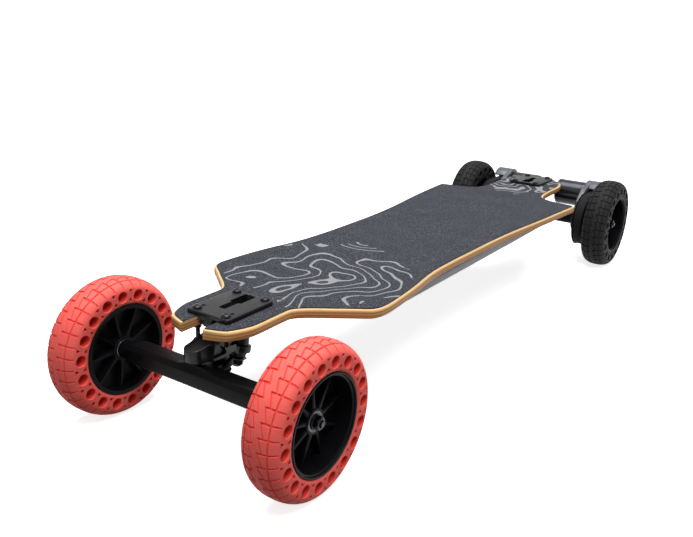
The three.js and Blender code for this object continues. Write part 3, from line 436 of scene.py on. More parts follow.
def piece(name, mesh, body, slot, *nodes, look=None, smooth=32.0):
    """The finished mesh as a piece of the part, in metres, standing on the floor."""
    def clean(work):
        bmesh.ops.remove_doubles(work, verts=work.verts, dist=0.000002)
        bmesh.ops.dissolve_degenerate(work, dist=0.000001, edges=work.edges)

    mesh.transform(Matrix.Translation((0, 0, AXLE_HEIGHT)))
    mesh.transform(Matrix.Scale(MM, 4))
    reworked(mesh, clean)
    mesh.name = name
    mesh.materials.clear()
    mesh.materials.append(LOOKS[look or slot])
    mesh.polygons.foreach_set("material_index", [0] * len(mesh.polygons))
    mesh.polygons.foreach_set("use_smooth", [True] * len(mesh.polygons))
    mesh.set_sharp_from_angle(angle=math.radians(smooth))
    made = bpy.data.objects.new(name, mesh)
    SCENE.collection.objects.link(made)
    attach(made, body)
    if nodes:
        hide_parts(*nodes)
    return made


# Materials

WHITE = (1, 1, 1, 1)


def paint(red, green, blue):
    """A screen colour from 0 to 255 as the shader wants it."""
    def level(value):
        share = value / 255
        return share / 12.92 if share <= 0.04045 else ((share + 0.055) / 1.055) ** 2.4
    return (level(red), level(green), level(blue), 1.0)


class Nodes:
    """The node tree of a material or the world, with short calls for the nodes used here."""

    def __init__(self, owner):
        owner.use_nodes = True
        self.tree = owner.node_tree
        self.tree.nodes.clear()

    def feed(self, socket, value):
        if isinstance(value, bpy.types.NodeSocket):
            self.tree.links.new(value, socket)
        else:
            socket.default_value = value

    def node(self, kind, inputs=(), **settings):
        made = self.tree.nodes.new("ShaderNode" + kind)
        for key, value in settings.items():
            setattr(made, key, value)
        for key, value in dict(inputs).items():
            self.feed(made.inputs[key], value)
        return made

    def math(self, operation, first, second=0.0):
        return self.node("Math", {0: first, 1: second}, operation=operation).outputs[0]

    def background_rays(self):
        """1 for rays that see the white background: the camera's own, mirrored ones and ones let through."""
        rays = self.node("LightPath").outputs
        indirect = self.math("MAXIMUM", rays["Is Glossy Ray"], rays["Is Transmission Ray"])
        return self.math("MAXIMUM", rays["Is Camera Ray"], indirect)


class Sheet(Nodes):
    """A material with one principled shader."""

    def __init__(self, name):
        self.material = bpy.data.materials.new(name)
        super().__init__(self.material)
        self.shader = self.node("BsdfPrincipled")
        self.out = self.node("OutputMaterial", {0: self.shader.outputs[0]})
        self.place = self.node("TexCoord").outputs["Object"]

    def mapped(self, vector, **settings):
        return self.node("Mapping", {"Vector": vector, **settings}).outputs[0]

    def noise(self, scale, detail=4.0, rough=0.5, place=None):
        return self.node("TexNoise", {
            "Vector": place or self.place, "Scale": scale, "Detail": detail,
            "Roughness": rough}).outputs["Fac"]

    def span(self, value, low, high, to_low=0.0, to_high=1.0):
        return self.node("MapRange", {
            "Value": value, "From Min": low, "From Max": high,
            "To Min": to_low, "To Max": to_high}).outputs[0]

    def mix(self, share, first, second):
        return self.node("Mix", {0: share, 6: first, 7: second}, data_type="RGBA").outputs[2]

    def tones(self, colour, other, scale=55.0, detail=5.0, rough=0.6, low=0.32, high=0.68):
        """Two colours that drift into each other."""
        return self.mix(self.span(self.noise(scale, detail, rough), low, high),
                        paint(*colour), paint(*other))

    def bump(self, height, strength, distance):
        return self.node("Bump", {
            "Height": height, "Strength": strength, "Distance": distance}).outputs[0]

    def set(self, **sockets):
        names = {"colour": "Base Color", "rough": "Roughness", "metal": "Metallic",
                 "normal": "Normal", "specular": "Specular IOR Level"}
        for key, value in sockets.items():
            self.feed(self.shader.inputs[names[key]], value)
        return self.material


def plain(name, colour, other, rough, metal=0.0, grain=1400.0, depth=0.00006, spread=0.08,
          strength=0.5, specular=0.5):
    """Colour that drifts between two tones, with a fine grain in the gloss and the surface."""
    sheet = Sheet(name)
    wear = sheet.noise(220.0, 6.0, 0.7)
    return sheet.set(
        colour=sheet.tones(colour, other), metal=metal, specular=specular,
        rough=sheet.span(wear, 0.3, 0.7, max(rough - spread, 0.05), min(rough + spread, 1.0)),
        normal=sheet.bump(sheet.noise(grain, 3.0, 0.6), strength, depth))


def machined(name, colour, other, rough, scale=(2600, 30, 30)):
    """Metal with fine turning marks, closest together along the axis with the largest scale."""
    sheet = Sheet(name)
    marks = sheet.noise(1.0, 2.0, 0.5, sheet.mapped(sheet.place, Scale=scale))
    return sheet.set(
        colour=sheet.tones(colour, other, 70.0, low=0.3, high=0.7), metal=1.0,
        rough=sheet.span(marks, 0.3, 0.7, rough - 0.06, rough + 0.08),
        normal=sheet.bump(marks, 0.25, 0.00003))


def wood_look():
    """Maple plies: the ply attribute runs from the deck's underside to its top. The ply colours are real
    bands, with painted shade darkening them towards the underside and a painted highlight lightening them
    towards the top.
    """
    sheet = Sheet("maple_plies")
    ply = sheet.node("Attribute", attribute_name="ply").outputs["Fac"]
    fibre = sheet.noise(1.0, 7.0, 0.65, sheet.mapped(sheet.place, Scale=(240, 14, 240)))
    wavy = sheet.math("ADD", ply, sheet.span(fibre, 0.2, 0.8, -0.03, 0.03))
    ply_bands_and_shade = sheet.node("ValToRGB", {0: wavy})
    # Ply colours from the underside (0) to the top (1): the dark low end is painted shade, the light top end
    # a painted highlight.
    tones = ((0.0, (124, 78, 46)), (0.12, (190, 132, 82)), (0.24, (210, 156, 98)),
             (0.34, (140, 88, 52)), (0.44, (216, 164, 104)), (0.56, (202, 148, 92)),
             (0.66, (154, 102, 62)), (0.76, (216, 174, 118)), (1.0, (226, 190, 138)))
    ramp = ply_bands_and_shade.color_ramp
    while len(ramp.elements) < len(tones):
        ramp.elements.new(0.5)
    for element, (place, tone) in zip(ramp.elements, tones):
        element.position = place
        element.color = paint(*tone)
    share = sheet.span(fibre, 0.35, 0.65, 0.0, 0.22)
    return sheet.set(colour=sheet.mix(share, ply_bands_and_shade.outputs[0], paint(196, 146, 86)),
                     rough=sheet.span(fibre, 0.3, 0.7, 0.42, 0.56), specular=0.2,
                     normal=sheet.bump(fibre, 0.35, 0.00012))


def grip_look():
    """Gritty tape with light specks, and a generic print of contour lines."""
    sheet = Sheet("grip_grit")
    grit = sheet.node("TexVoronoi", {"Vector": sheet.place, "Scale": 1150.0})
    speck = sheet.span(sheet.noise(760.0, 2.0, 0.6), 0.56, 0.7)
    ground = sheet.tones((42, 43, 49), (48, 50, 56), 26.0, 6.0, 0.65, 0.35, 0.65)
    pits = sheet.span(sheet.noise(520.0, 2.0, 0.6), 0.3, 0.46, 1.0, 0.0)
    pitted = sheet.mix(sheet.math("MULTIPLY", pits, 0.55), ground, paint(38, 39, 44))
    sprinkled = sheet.mix(sheet.math("MULTIPLY", speck, 0.6), pitted, paint(150, 154, 164))
    axes = sheet.node("SeparateXYZ", {0: sheet.place})
    flat = sheet.node("CombineXYZ", {0: axes.outputs[0], 1: axes.outputs[1]}).outputs[0]

    def contours(scale, count, width, seed):
        shifted = sheet.mapped(flat, Location=(seed, seed * 0.7, 0))
        level = sheet.math("MULTIPLY", sheet.noise(scale, 1.5, 0.45, shifted), count)
        return sheet.math("LESS_THAN", sheet.math("PINGPONG", level, 0.5), width)

    def patch(y, across, along, edge):
        shifted = sheet.mapped(flat, Location=(0, -y / along, 0), Scale=(1 / across, 1 / along, 1))
        reach = sheet.node("VectorMath", {0: shifted}, operation="LENGTH").outputs["Value"]
        uneven = sheet.math("MULTIPLY", sheet.noise(17.0, 3.0, 0.6, flat), edge)
        return sheet.math("LESS_THAN", sheet.math("ADD", reach, uneven), 1.0 + edge * 0.5)

    front = sheet.math("MULTIPLY", contours(8.5, 15.0, 0.085, 3.1), patch(-0.262, 0.112, 0.125, 1.3))
    rear = sheet.math("MULTIPLY", contours(14.0, 9.0, 0.13, 7.3), patch(0.44, 0.075, 0.11, 1.1))
    lines = sheet.math("MAXIMUM", front, rear)
    thin = sheet.span(sheet.noise(420.0, 3.0, 0.6), 0.3, 0.5, 0.5, 0.92)
    printed = sheet.mix(sheet.math("MULTIPLY", lines, thin), sprinkled, paint(148, 149, 152))
    return sheet.set(colour=printed, rough=0.93, specular=0.18,
                     normal=sheet.bump(grit.outputs["Distance"], 0.55, 0.0004))


def rubber_look(name, colour, other, dust, recess_shade, specular):
    """Moulded rubber with a dusty bloom on its wide patches, and painted shade in grooves and holes, where
    the recess attribute mixes in a darker colour.
    """
    sheet = Sheet(name)
    recess = sheet.node("Attribute", attribute_name="recess").outputs["Fac"]
    bloom = sheet.span(sheet.noise(190.0, 7.0, 0.7), 0.42, 0.75, 0.0, 0.35)
    fine = sheet.noise(2300.0, 3.0, 0.6)
    body = sheet.tones(colour, other, 38.0, 6.0, 0.65, 0.35)
    bloomed = sheet.mix(bloom, body, paint(*dust))
    # The recess attribute mixes in painted shade: a darker colour in grooves and holes.
    return sheet.set(colour=sheet.mix(sheet.math("MULTIPLY", recess, 0.85), bloomed, paint(*recess_shade)),
                     rough=sheet.span(fine, 0.3, 0.7, 0.6, 0.78), specular=specular,
                     normal=sheet.bump(fine, 0.5, 0.00009))


def mount_look():
    """Grey anodised plate, black within about 33 mm of the rear axle, round its clamp on the hanger."""
    sheet = Sheet("mount_plate")
    flat = sheet.mapped(sheet.place, Scale=(0, 1, 1))
    axle = (0, HALF_WHEELBASE * MM, AXLE_HEIGHT * MM)
    reach = sheet.node("VectorMath", {0: flat, 1: axle}, operation="DISTANCE").outputs["Value"]
    grey = sheet.span(reach, 0.0325, 0.0335)
    plate = sheet.tones((94, 96, 101), (84, 86, 91))
    return sheet.set(colour=sheet.mix(grey, paint(14, 13, 15), plate),
                     rough=sheet.span(sheet.noise(220.0, 6.0, 0.7), 0.3, 0.7, 0.36, 0.5),
                     metal=sheet.math("MULTIPLY", grey, 0.45), specular=0.2,
                     normal=sheet.bump(sheet.noise(2200.0, 3.0, 0.6), 0.5, 0.00006))


LOOKS = {
    # The last colour given to each rubber is the painted shade for its grooves and holes.
    "red_tyre": rubber_look(
        "red_rubber", (250, 104, 95), (245, 95, 86), (251, 124, 115), (232, 56, 40), 0.35),
    "black_tyre": rubber_look(
        "black_rubber", (29, 28, 30), (20, 20, 21), (44, 43, 46), (8, 8, 9), 0.18),
    "black_plastic": plain("black_moulding", (17, 17, 20), (12, 12, 15), 0.36, grain=900.0, specular=0.05),
    "black_metal": plain("black_coat", (15, 14, 16), (10, 10, 11), 0.38, grain=1500.0,
                         depth=0.00008, specular=0.05),
    # A lighter copy of the black coat for the base plates and arms: its lighter colour is painted sheen, and
    # it has a higher specular level.
    "black_metal_painted_sheen": plain("black_coat_painted_sheen", (21, 21, 23), (15, 15, 17), 0.36, grain=1500.0,
                         depth=0.00008, specular=0.2),
    "mount_metal": mount_look(),
    "grey_metal": plain("grey_anodised", (92, 94, 99), (82, 84, 89), 0.42, 0.45, grain=2200.0),
    "motor_case": plain("motor_case", (52, 53, 57), (46, 47, 51), 0.24, 0.8, grain=900.0,
                        depth=0.00001, spread=0.03, strength=0.15),
    "steel": machined("bright_steel", (188, 190, 195), (166, 168, 173), 0.26),
    "ring_steel": machined("ring_steel", (104, 105, 110), (84, 85, 90), 0.28),
    "dark_steel": machined("dark_steel", (50, 50, 54), (38, 38, 42), 0.3, (30, 30, 2600)),
    "urethane": plain("urethane", (18, 18, 20), (13, 13, 15), 0.45, grain=700.0, specular=0.2),
    "belt_rubber": plain("belt_rubber", (26, 26, 28), (20, 20, 22), 0.7, grain=1800.0,
                         depth=0.00012, specular=0.12),
    "case_plastic": plain("case_moulding", (120, 121, 126), (112, 113, 118), 0.5, grain=520.0,
                          depth=0.00016),
    "seal": plain("seal_rubber", (26, 26, 28), (22, 22, 24), 0.85, grain=1300.0),
    "wrap": plain("pack_wrap", (44, 74, 132), (36, 62, 116), 0.38, grain=260.0),
    "shield": plain("bearing_shield", (30, 30, 33), (24, 24, 27), 0.4, grain=1800.0),
    "maple": wood_look(),
    "grip": grip_look(),
}


# Wheels, drawn about Z with the outer side towards +Z

TYRE_SIDE = [
    (TYRE_RADIUS, 0.0), (82.45, 4.0), (82.1, 8.0), (81.2, 12.0), (79.9, 15.5), (78.3, 18.2),
    (76.4, 20.2), (74.2, 21.6), (72.0, 22.4), (69.0, 22.65), (65.0, HALF_TYRE_WIDTH),
    (60.0, HALF_TYRE_WIDTH), (57.4, 22.6), (56.2, 22.2), (55.0, 21.6), (TYRE_SEAT, 20.8),
]
CROWN = TYRE_SIDE[:8]


def tread_radius(across):
    return float(np.interp(abs(across), [w for _, w in CROWN], [r for r, _ in CROWN]))


def groove(path, half=GROOVE_HALF, depth=TREAD_DEPTH):
    """A cutter that follows a path of (degrees, across) points on the tread."""
    rings = []
    flat = [(math.radians(a) * TYRE_RADIUS, w) for a, w in path]
    for k, (s, w) in enumerate(flat):
        before, after = flat[max(k - 1, 0)], flat[min(k + 1, len(flat) - 1)]
        run = Vector((after[0] - before[0], after[1] - before[1])).normalized()
        side = Vector((-run.y, run.x)) * half
        ring = []
        for sign, lift, wide in ((-1, -depth, 0.6), (1, -depth, 0.6), (1, 3, 1.5), (-1, 3, 1.5)):
            angle = (s + sign * side.x * wide) / TYRE_RADIUS
            radius = tread_radius(w) + lift
            ring.append((radius * math.cos(angle), radius * math.sin(angle), w + sign * side.y * wide))
        rings.append(ring)
    return loft(rings)


def tyre_mesh():
    body = turned([(r, -w) for r, w in reversed(TYRE_SIDE)] + TYRE_SIDE[1:], 216)
    pitch = 360 / PITCH_COUNT
    lateral, slanted = [], []
    for k in range(PITCH_COUNT):
        for side in (1, -1):
            at = 90 - TREAD_STAGGER * side + k * pitch
            lateral.append(groove([(at, side * w) for w in (3.1, 6, 9, 12, 15, 18, 20, 21.6)]))
            near, far = (8.5, 3.1) if side > 0 else (3.1, 8.5)
            steps = [(at - pitch * t, side * (near + (far - near) * t))
                     for t in (-0.05, 0.25, 0.5, 0.75, 1.05)]
            slanted.append(groove(steps, SLANTED_HALF, TREAD_DEPTH * 0.9))
    bottom, open_end = tread_radius(RING_GROOVE) - TREAD_DEPTH, TYRE_RADIUS + 3.5
    rings = [turned([(bottom, middle - 0.7), (open_end, middle - 1.5), (open_end, middle + 1.5),
                     (bottom, middle + 0.7)], 216) for middle in (RING_GROOVE, -RING_GROOVE)]
    face = HALF_TYRE_WIDTH
    hole = moved(turned(both_ways([
        (6.0, face - 8), (6.25, face - 1.2), (6.45, face - 0.5), (6.9, face), (7.4, face + 2),
        (0, face + 2)]), 28), HOLE_CIRCLE)
    slits = []
    for radius, facing in ((59.9, 0), (70.7, 180)):
        shape = rounded_outline([(3.0, 0), (-1.8, 3.0), (-1.8, -3.0)], 0.7, 3)
        slit = loft([[(x, y, z) for x, y in shape] for z in (-face - 2, 1 - face, face - 1, face + 2)])
        slits += around(moved(spun(slit, facing), radius), HOLE_COUNT, 90 + 180 / HOLE_COUNT)
    return cut(body, merged(lateral), merged(slanted), merged(rings),
               merged(around(hole, HOLE_COUNT, 90)), merged(slits))


def mark_recess_shade(mesh):
    """The recess attribute: how far below the tread or inside a hole a point lies, from 0 to 1, which sets
    how much painted shade the rubber gets there.
    """
    def depth(radius, across):
        if radius > 72.5:
            return min(max((tread_radius(across) - radius) / 2.4, 0.0), 0.5) if across < 21 else 0.0
        return min(max((22.3 - across) / 0.8, 0.0), 1.0) if radius > 56.4 else 0.0

    mesh = mesh.copy()
    recess = mesh.attributes.new("recess", "FLOAT", "POINT")
    recess.data.foreach_set("value", [
        depth(math.hypot(v.co.x, v.co.y), abs(v.co.z)) for v in mesh.vertices])
    return mesh


def spoke_mesh():
    rings = []
    for reach, thick, high in ((9.5, 7.4, 7.8), (13.5, 7.0, 7.6), (16.5, 5.4, 7.3), (20, 4.2, 7.0),
                               (28, 3.3, 6.4), (38, 2.8, 5.4), (46, 2.8, 4.7), (51, 3.4, 4.4)):
        t = thick / 2
        rings.append([
            (reach, -t * 0.9, -15.4), (reach, t * 0.9, -15.4), (reach, t, -12), (reach, t, high - 1.3),
            (reach, t * 0.5, high - 0.15), (reach, -t * 0.5, high - 0.15), (reach, -t, high - 1.3),
            (reach, -t, -12)])
    return loft(rings)


def rim_mesh(turn):
    face = HALF_RIM_WIDTH
    barrel = turned([
        (RIM_INNER, -face + 0.4), (49.5, -face), (53.4, -face), (RIM_RADIUS, -face + 0.7),
        (RIM_RADIUS, face - 0.7), (53.4, face), (52.0, face), (51.6, face - 0.5), (51.3, face - 2.4),
        (50.0, face - 2.9), (49.5, face - 3.6), (48.7, 3.0), (48.7, -3.0)], 144)
    hub = turned([
        (8.0, HUB_INNER), (13.6, HUB_INNER), (14.5, HUB_INNER + 0.9), (14.5, HUB_OUTER - 2.2),
        (14.0, HUB_OUTER - 0.6), (13.3, HUB_OUTER), (8.0, HUB_OUTER)], 64)
    web = turned([
        (0, -6.4), (16, -6.4), (20, -6.2), (47, -6.2), (52, -7.4), (52, -2.4), (47, -3.6), (20, -3.6),
        (16, -3.0), (0, -3.0)], 96)
    core = joined(hub, web, *around(spoke_mesh(), SPOKE_COUNT, turn))
    core = boolean("INTERSECT", core, rod(50.8, -30, 30, 96))
    return cut(joined(barrel, core), rod(BEARING_RADIUS + GAP, HUB_INNER - 4, HUB_OUTER + 4, 48))


def bearing_rings():
    """The outer and inner rings of both bearings and the spacer, drawn as one turned steel piece."""
    bore = AXLE_RADIUS + GAP
    face = [
        (bore, 0.3), (bore + 0.3, 0), (6.4, 0), (6.7, 0.3), (6.7, 1.0), (9.9, 1.0), (9.9, 0.3),
        (10.1, 0), (10.7, 0), (BEARING_RADIUS, 0.3), (BEARING_RADIUS, BEARING_WIDTH),
        (6.5, BEARING_WIDTH)]
    return turned([(r, HUB_INNER + depth) for r, depth in face]
                  + [(r, HUB_OUTER - depth) for r, depth in reversed(face)], 64)


def bearing_shields():
    rows = [(6.8, 0.95), (9.8, 0.95), (9.8, 0.35), (9.5, 0.25), (8.2, 0.3), (7.8, 0.45), (7.2, 0.3),
            (6.8, 0.3)]
    return merged([turned([(r, face + way * depth) for r, depth in rows], 64)
                   for face, way in ((HUB_OUTER, -1), (HUB_INNER, 1))])


def axle_nut_mesh():
    seat = HUB_OUTER + GAP
    washer = disc(AXLE_RADIUS + GAP, 8, seat, seat + 1.2, 48, 0.25, 0.25)
    collar = turned([
        (0, seat + 6), (5.9, seat + 6), (5.9, seat + 6.9), (5.4, seat + 7.2), (0, seat + 7.2)], 40)
    bore = rod(AXLE_RADIUS + GAP, seat - 2, seat + 10, 40)
    return cut(joined(hexagon(13, seat + 1.2, seat + 6.4), collar, washer), bore)


def threaded(radius, low, high, pitch=1.25, depth=0.55):
    """A threaded end's rows of crests and roots, from low to high."""
    rows = []
    for k in range(max(int((high - low) / pitch), 1)):
        z = low + k * pitch
        rows += [(radius, z), (radius - depth, z + pitch / 2)]
    return rows


def axle_mesh():
    start, stop = AXLE_HALF_LENGTH - 12, AXLE_HALF_LENGTH
    return turned(both_ways([
        (AXLE_RADIUS, start), *threaded(AXLE_RADIUS, start, stop - 0.9),
        (AXLE_RADIUS - 0.8, stop - 0.2), (AXLE_RADIUS - 1.1, stop), (0, stop)]), 32)


tyre_base = mark_recess_shade(tyre_mesh())
for place, end, side, turn in WHEELS:
    wheel = place + "_wheel"
    rubber, hanger = ("red_tyre", "front_hanger_body") if end < 0 else ("black_tyre", "rear_hanger_body")
    for name, mesh, body, slot, nodes, look, smooth in (
            ("tyre_treaded", spun(tyre_base.copy(), turn), wheel, rubber, ["tyre"], None, 38),
            ("rim_moulded", rim_mesh(turn), wheel, "black_plastic", ["rim"], None, 32),
            ("bearing_rings", bearing_rings(), wheel, "steel", ["bearings"], "ring_steel", 32),
            ("bearing_shields", bearing_shields(), wheel, "steel", [], "shield", 32),
            ("lock_nut", spun(axle_nut_mesh(), 11), hanger, "dark_steel", ["axle_nut"], None, 32)):
        piece(f"{place}_{name}", at_corner(mesh, end, side), body, slot,
              *[f"{place}_{node}" for node in nodes], look=look, smooth=smooth)


# Deck and grip tape

def smooth_stations(inset, step):
    """Places along the deck with the half width there, on a curve through the outline's points."""
    rows = [(-a * (DECK_NOSE_END - inset), w * DECK_SHOULDER - inset) for a, w in NOSE_SHARES]
    rows += [(a * (DECK_TAIL_END - inset), w * DECK_HALF_WIDTH - inset) for a, w in TAIL_SHARES]
    points = [np.array(p, float) for p in rows]
    dense = [points[0]]
    for k in range(len(points) - 1):
        p1, p2 = points[k], points[k + 1]
        p0 = points[k - 1] if k else 2 * p1 - p2
        p3 = points[k + 2] if k + 2 < len(points) else 2 * p2 - p1
        reach = np.linalg.norm(p2 - p1)
        first = (p2 - p0) * reach / (reach + np.linalg.norm(p1 - p0))
        second = (p3 - p1) * reach / (reach + np.linalg.norm(p3 - p2))
        steps = max(int(reach / step), 3)
        for s in range(1, steps + 1):
            t = s / steps
            row = ((2 * t**3 - 3 * t**2 + 1) * p1 + (t**3 - 2 * t**2 + t) * first
                   + (3 * t**2 - 2 * t**3) * p2 + (t**3 - t**2) * second)
            if row[0] > dense[-1][0] + 0.05:
                dense.append(row)
    return dense


def deck_lift(x, y):
    """How far a place on the deck lies above its flat height: its sides curl up, its middle sags."""
    along = min(abs(y) / SAG_REACH, 1)
    fade = max(1 - (y / CURL_REACH) ** 4, 0)
    return DECK_CURL * fade * (x / DECK_HALF_WIDTH) ** 2 - DECK_SAG * (1 - along**2)


def deck_loft(inset, low, high, roundness, step=7.0):
    rings = []
    shares = np.linspace(-1, 1, 13)
    bend = [(roundness * math.sin(a), roundness * (1 - math.cos(a)))
            for a in (math.pi / 6, math.pi / 3, math.pi / 2)]
    for y, half in smooth_stations(inset, step):
        flat = max(half, 4) - roundness
        ring = [(s * flat, high) for s in shares]
        ring += [(flat + dx, high - dz) for dx, dz in bend]
        ring += [(flat + dx, low + dz) for dx, dz in reversed(bend)]
        ring += [(-s * flat, low) for s in shares]
        ring += [(-flat - dx, low + dz) for dx, dz in bend]
        ring += [(-flat - dx, high - dz) for dx, dz in reversed(bend)]
        rings.append([(x, y, z + deck_lift(x, y)) for x, z in ring])
    return loft(rings)


def truck_openings(bolt_radius):
    tools = []
    for end in (-1, 1):
        corners = rectangle(-SLOT_HALF_WIDTH, -30, SLOT_HALF_WIDTH, SLOT_END)
        slot = prism(rounded_outline(corners, [0, 0, 5, 5]), OPENING_LOW, OPENING_HIGH)
        holes = [moved(rod(bolt_radius, OPENING_LOW, OPENING_HIGH, 24), x, s) for x, s in BOLT_PLACES]
        tools.append(at_truck(merged([slot, *holes]), end))
    return tools


def mark_plies(mesh):
    """The ply attribute, from 0 on the underside to 1 on top."""
    heights = [(v.co.z / MM - AXLE_HEIGHT - DECK_BOTTOM - deck_lift(v.co.x / MM, v.co.y / MM))
               / (DECK_TOP - DECK_BOTTOM) for v in mesh.vertices]
    ply = mesh.attributes.new("ply", "FLOAT", "POINT")
    ply.data.foreach_set("value", heights)


deck = cut(deck_loft(0, DECK_BOTTOM, DECK_TOP, DECK_EDGE_ROUND), *truck_openings(3.2))
mark_plies(piece("deck_plies", deck, "board", "maple", "deck", smooth=40).data)

grip_low = DECK_TOP + GAP
grip = cut(deck_loft(GRIP_INSET, grip_low, grip_low + GRIP_THICKNESS, 0.35), *truck_openings(3.4))
piece("grip_sheet", grip, "board", "grip", "grip_tape", smooth=40)


# Trucks, drawn with the axle at 0, 0 and the middle of the board towards +Y

def seat_ends(ring, reach):
    """The two ends, in the side view, of the flat that a cup washer bears on."""
    place, height, tilt = ring
    across, up = math.cos(math.radians(tilt)), math.sin(math.radians(tilt))
    centre = (place + up * reach, height + across * reach)
    return [(centre[0] + step * across, centre[1] - step * up) for step in (-CUP_RADIUS, CUP_RADIUS)]


def base_plate_mesh():
    corners = rectangle(-PLATE_HALF_WIDTH, PLATE_OUTER_END, PLATE_HALF_WIDTH, PLATE_INNER_END)
    plate = soft(prism(rounded_outline(corners, 4, 6), PLATE_UNDERSIDE, PLATE_TOP), 0.9, 3)
    housing = soft(side_prism([
        (4, CASTING_FOOT + 1), (4, 65), (8, PLATE_JOINT - 0.4), (CASTING_ROOT + 2, PLATE_JOINT),
        (CASTING_ROOT + 2, CASTING_FOOT + 1)], -HOUSING_HALF_WIDTH, HOUSING_HALF_WIDTH), 1.8, 3)
    mouth = moved(turned([
        (0, CASTING_FOOT), (5.4, CASTING_FOOT), (5.9, CASTING_FOOT + 0.5), (5.9, 66), (0, 66)], 40),
        0, UPPER_PIVOT)
    casting = soft(side_prism([
        *seat_ends(UPPER_RING, UPPER_SEAT), (CASTING_END, PLATE_JOINT), (CASTING_ROOT, PLATE_JOINT),
        (CASTING_ROOT, CASTING_FOOT)], -CASTING_HALF_WIDTH, CASTING_HALF_WIDTH), 1.4, 2)
    start, step, stop = CASTING_ROOT + 8, 52.0, CASTING_END - 1.6
    window = prism(rounded_outline([
        (-4.8, start), (4.8, start), (4.8, step), (8, step), (8, stop), (-8, stop), (-8, step),
        (-4.8, step)], [2.4, 2.4, 0.8, 0.8, 1.2, 1.2, 0.8, 0.8], 3), PLATE_UNDERSIDE - 16, PLATE_TOP + 2)
    shank = on_kingpin(rod(KINGPIN_RADIUS + GAP, 0, 60, 40), UPPER_RING)
    head_room = on_kingpin(joined(rod(7.3, UPPER_HEAD - GAP, 62, 40),
                                  block((-7.6, -7.6, UPPER_HEAD), (7.6, 6.3, 62))), UPPER_RING)
    small_places = [(x, SMALL_HOLE_PLACE) for x in (-BOLT_X, BOLT_X)]
    holes = [moved(rod(PIVOT_CUP_RADIUS, CASTING_FOOT - 2, 65.5, 32), 0, UPPER_PIVOT)]
    holes += [moved(rod(3.2, 60, 80, 24), x, s) for x, s in BOLT_PLACES]
    holes += [moved(rod(2.0, PLATE_JOINT - 1, 80, 24), x, s) for x, s in small_places]
    sunk = [moved(turned([(0, PLATE_TOP - 0.5), (2.1, PLATE_TOP - 0.5), (2.7, PLATE_TOP + 0.4),
                          (0, PLATE_TOP + 0.4)], 24), x, s) for x, s in small_places]
    return cut(joined(plate, housing, casting, mouth), window, shank, head_room, merged(holes),
               merged(sunk))


def truck_bolt_mesh():
    """A broad low head with a cross recess on the plate, and a locknut under the deck."""
    seat = PLATE_TOP + GAP
    nut_top = DECK_BOTTOM - GAP
    head = turned([
        (0, seat), (5.1, seat), (5.3, seat + 0.3), (5.25, seat + 1.0), (4.8, seat + 1.8),
        (3.7, seat + 2.5), (2.0, seat + 2.9), (0, seat + 3.0)], 40)
    head = cut(head, *[spun(block((-2.6, -0.55, seat + 1.1), (2.6, 0.55, seat + 4)), degrees)
                       for degrees in (20, 110)])
    low = nut_top - BOLT_END_LENGTH
    shank = turned([(0, low), (2.0, low), *threaded(2.5, low + 0.5, nut_top, 0.8, 0.3),
                    (2.5, nut_top), (2.5, seat + 0.5), (0, seat + 0.5)], 24)
    collar = turned([(0, nut_top - 5), (3.3, nut_top - 5), (3.7, nut_top - 4.7), (3.7, nut_top - 4),
                     (0, nut_top - 4)], 32)
    return joined(shank, head, joined(hexagon(8, nut_top - 4.2, nut_top, 0.5), collar))


def kingpin_mesh(seat_reach, nut_reach, head_reach):
    """A bolt with a socket in its head, two dished cup washers and a locknut."""
    nut_top = GAP - nut_reach
    nut_low = nut_top - 7
    low = nut_low - 1.5
    shank = turned([(0, low), (4.2, low), *threaded(KINGPIN_RADIUS, low + 0.6, nut_top, 1.25, 0.5),
                    (KINGPIN_RADIUS, nut_top), (KINGPIN_RADIUS, head_reach + GAP),
                    (0, head_reach + GAP)], 32)
    head = turned([
        (0, head_reach), (6.7, head_reach), (7, head_reach + 0.3), (7, head_reach + 4.2),
        (6.3, head_reach + 5), (0, head_reach + 5)], 48)
    head = cut(head, rod(4.0, head_reach + 2, head_reach + 8, 6))

    def cup(flat, way):
        rows = [(4.6, 0), (8.6, 0), (9.2, 0.2), (10.0, 1.2), (CUP_RADIUS, 1.3), (CUP_RADIUS, 1.5),
                (9.6, 1.5), (8.9, 0.9), (4.6, 0.9)]
        return turned([(r, flat + way * depth) for r, depth in rows], 48)

    collar = turned([(0, nut_low), (5.6, nut_low), (6.4, nut_low + 0.6), (6.4, nut_low + 1.4),
                     (0, nut_low + 1.4)], 40)
    nut = joined(hexagon(14, nut_low + 1, nut_top, 0.8), collar)
    return joined(shank, head, nut, cup(seat_reach - GAP, -1), cup(nut_top, 1))


def bushings_mesh(upper, lower):
    """Two barrel and cone bushings on their sleeve."""
    bore, seat = KINGPIN_RADIUS + GAP, BUSHING_START
    return turned([
        (bore, -seat - lower), (7.8, -seat - lower), (8.2, -seat - lower + 0.5),
        (9.0, -seat - lower * 0.5), (9.9, -seat - 0.8), (9.9, -seat - 0.3), (9.6, -seat), (7.3, -seat),
        (7.3, seat), (9.6, seat), (10.1, seat + 0.5), (10.2, seat + upper * 0.3),
        (9.8, seat + upper * 0.55), (10.0, seat + upper - 0.8), (9.6, seat + upper),
        (bore, seat + upper)], 56)


def ring_mesh():
    return rod(RING_RADIUS, -RING_HALF, RING_HALF, 64, 0.9)


def ring_hole():
    return rod(RING_HOLE, -RING_ROOM, RING_ROOM, 48)


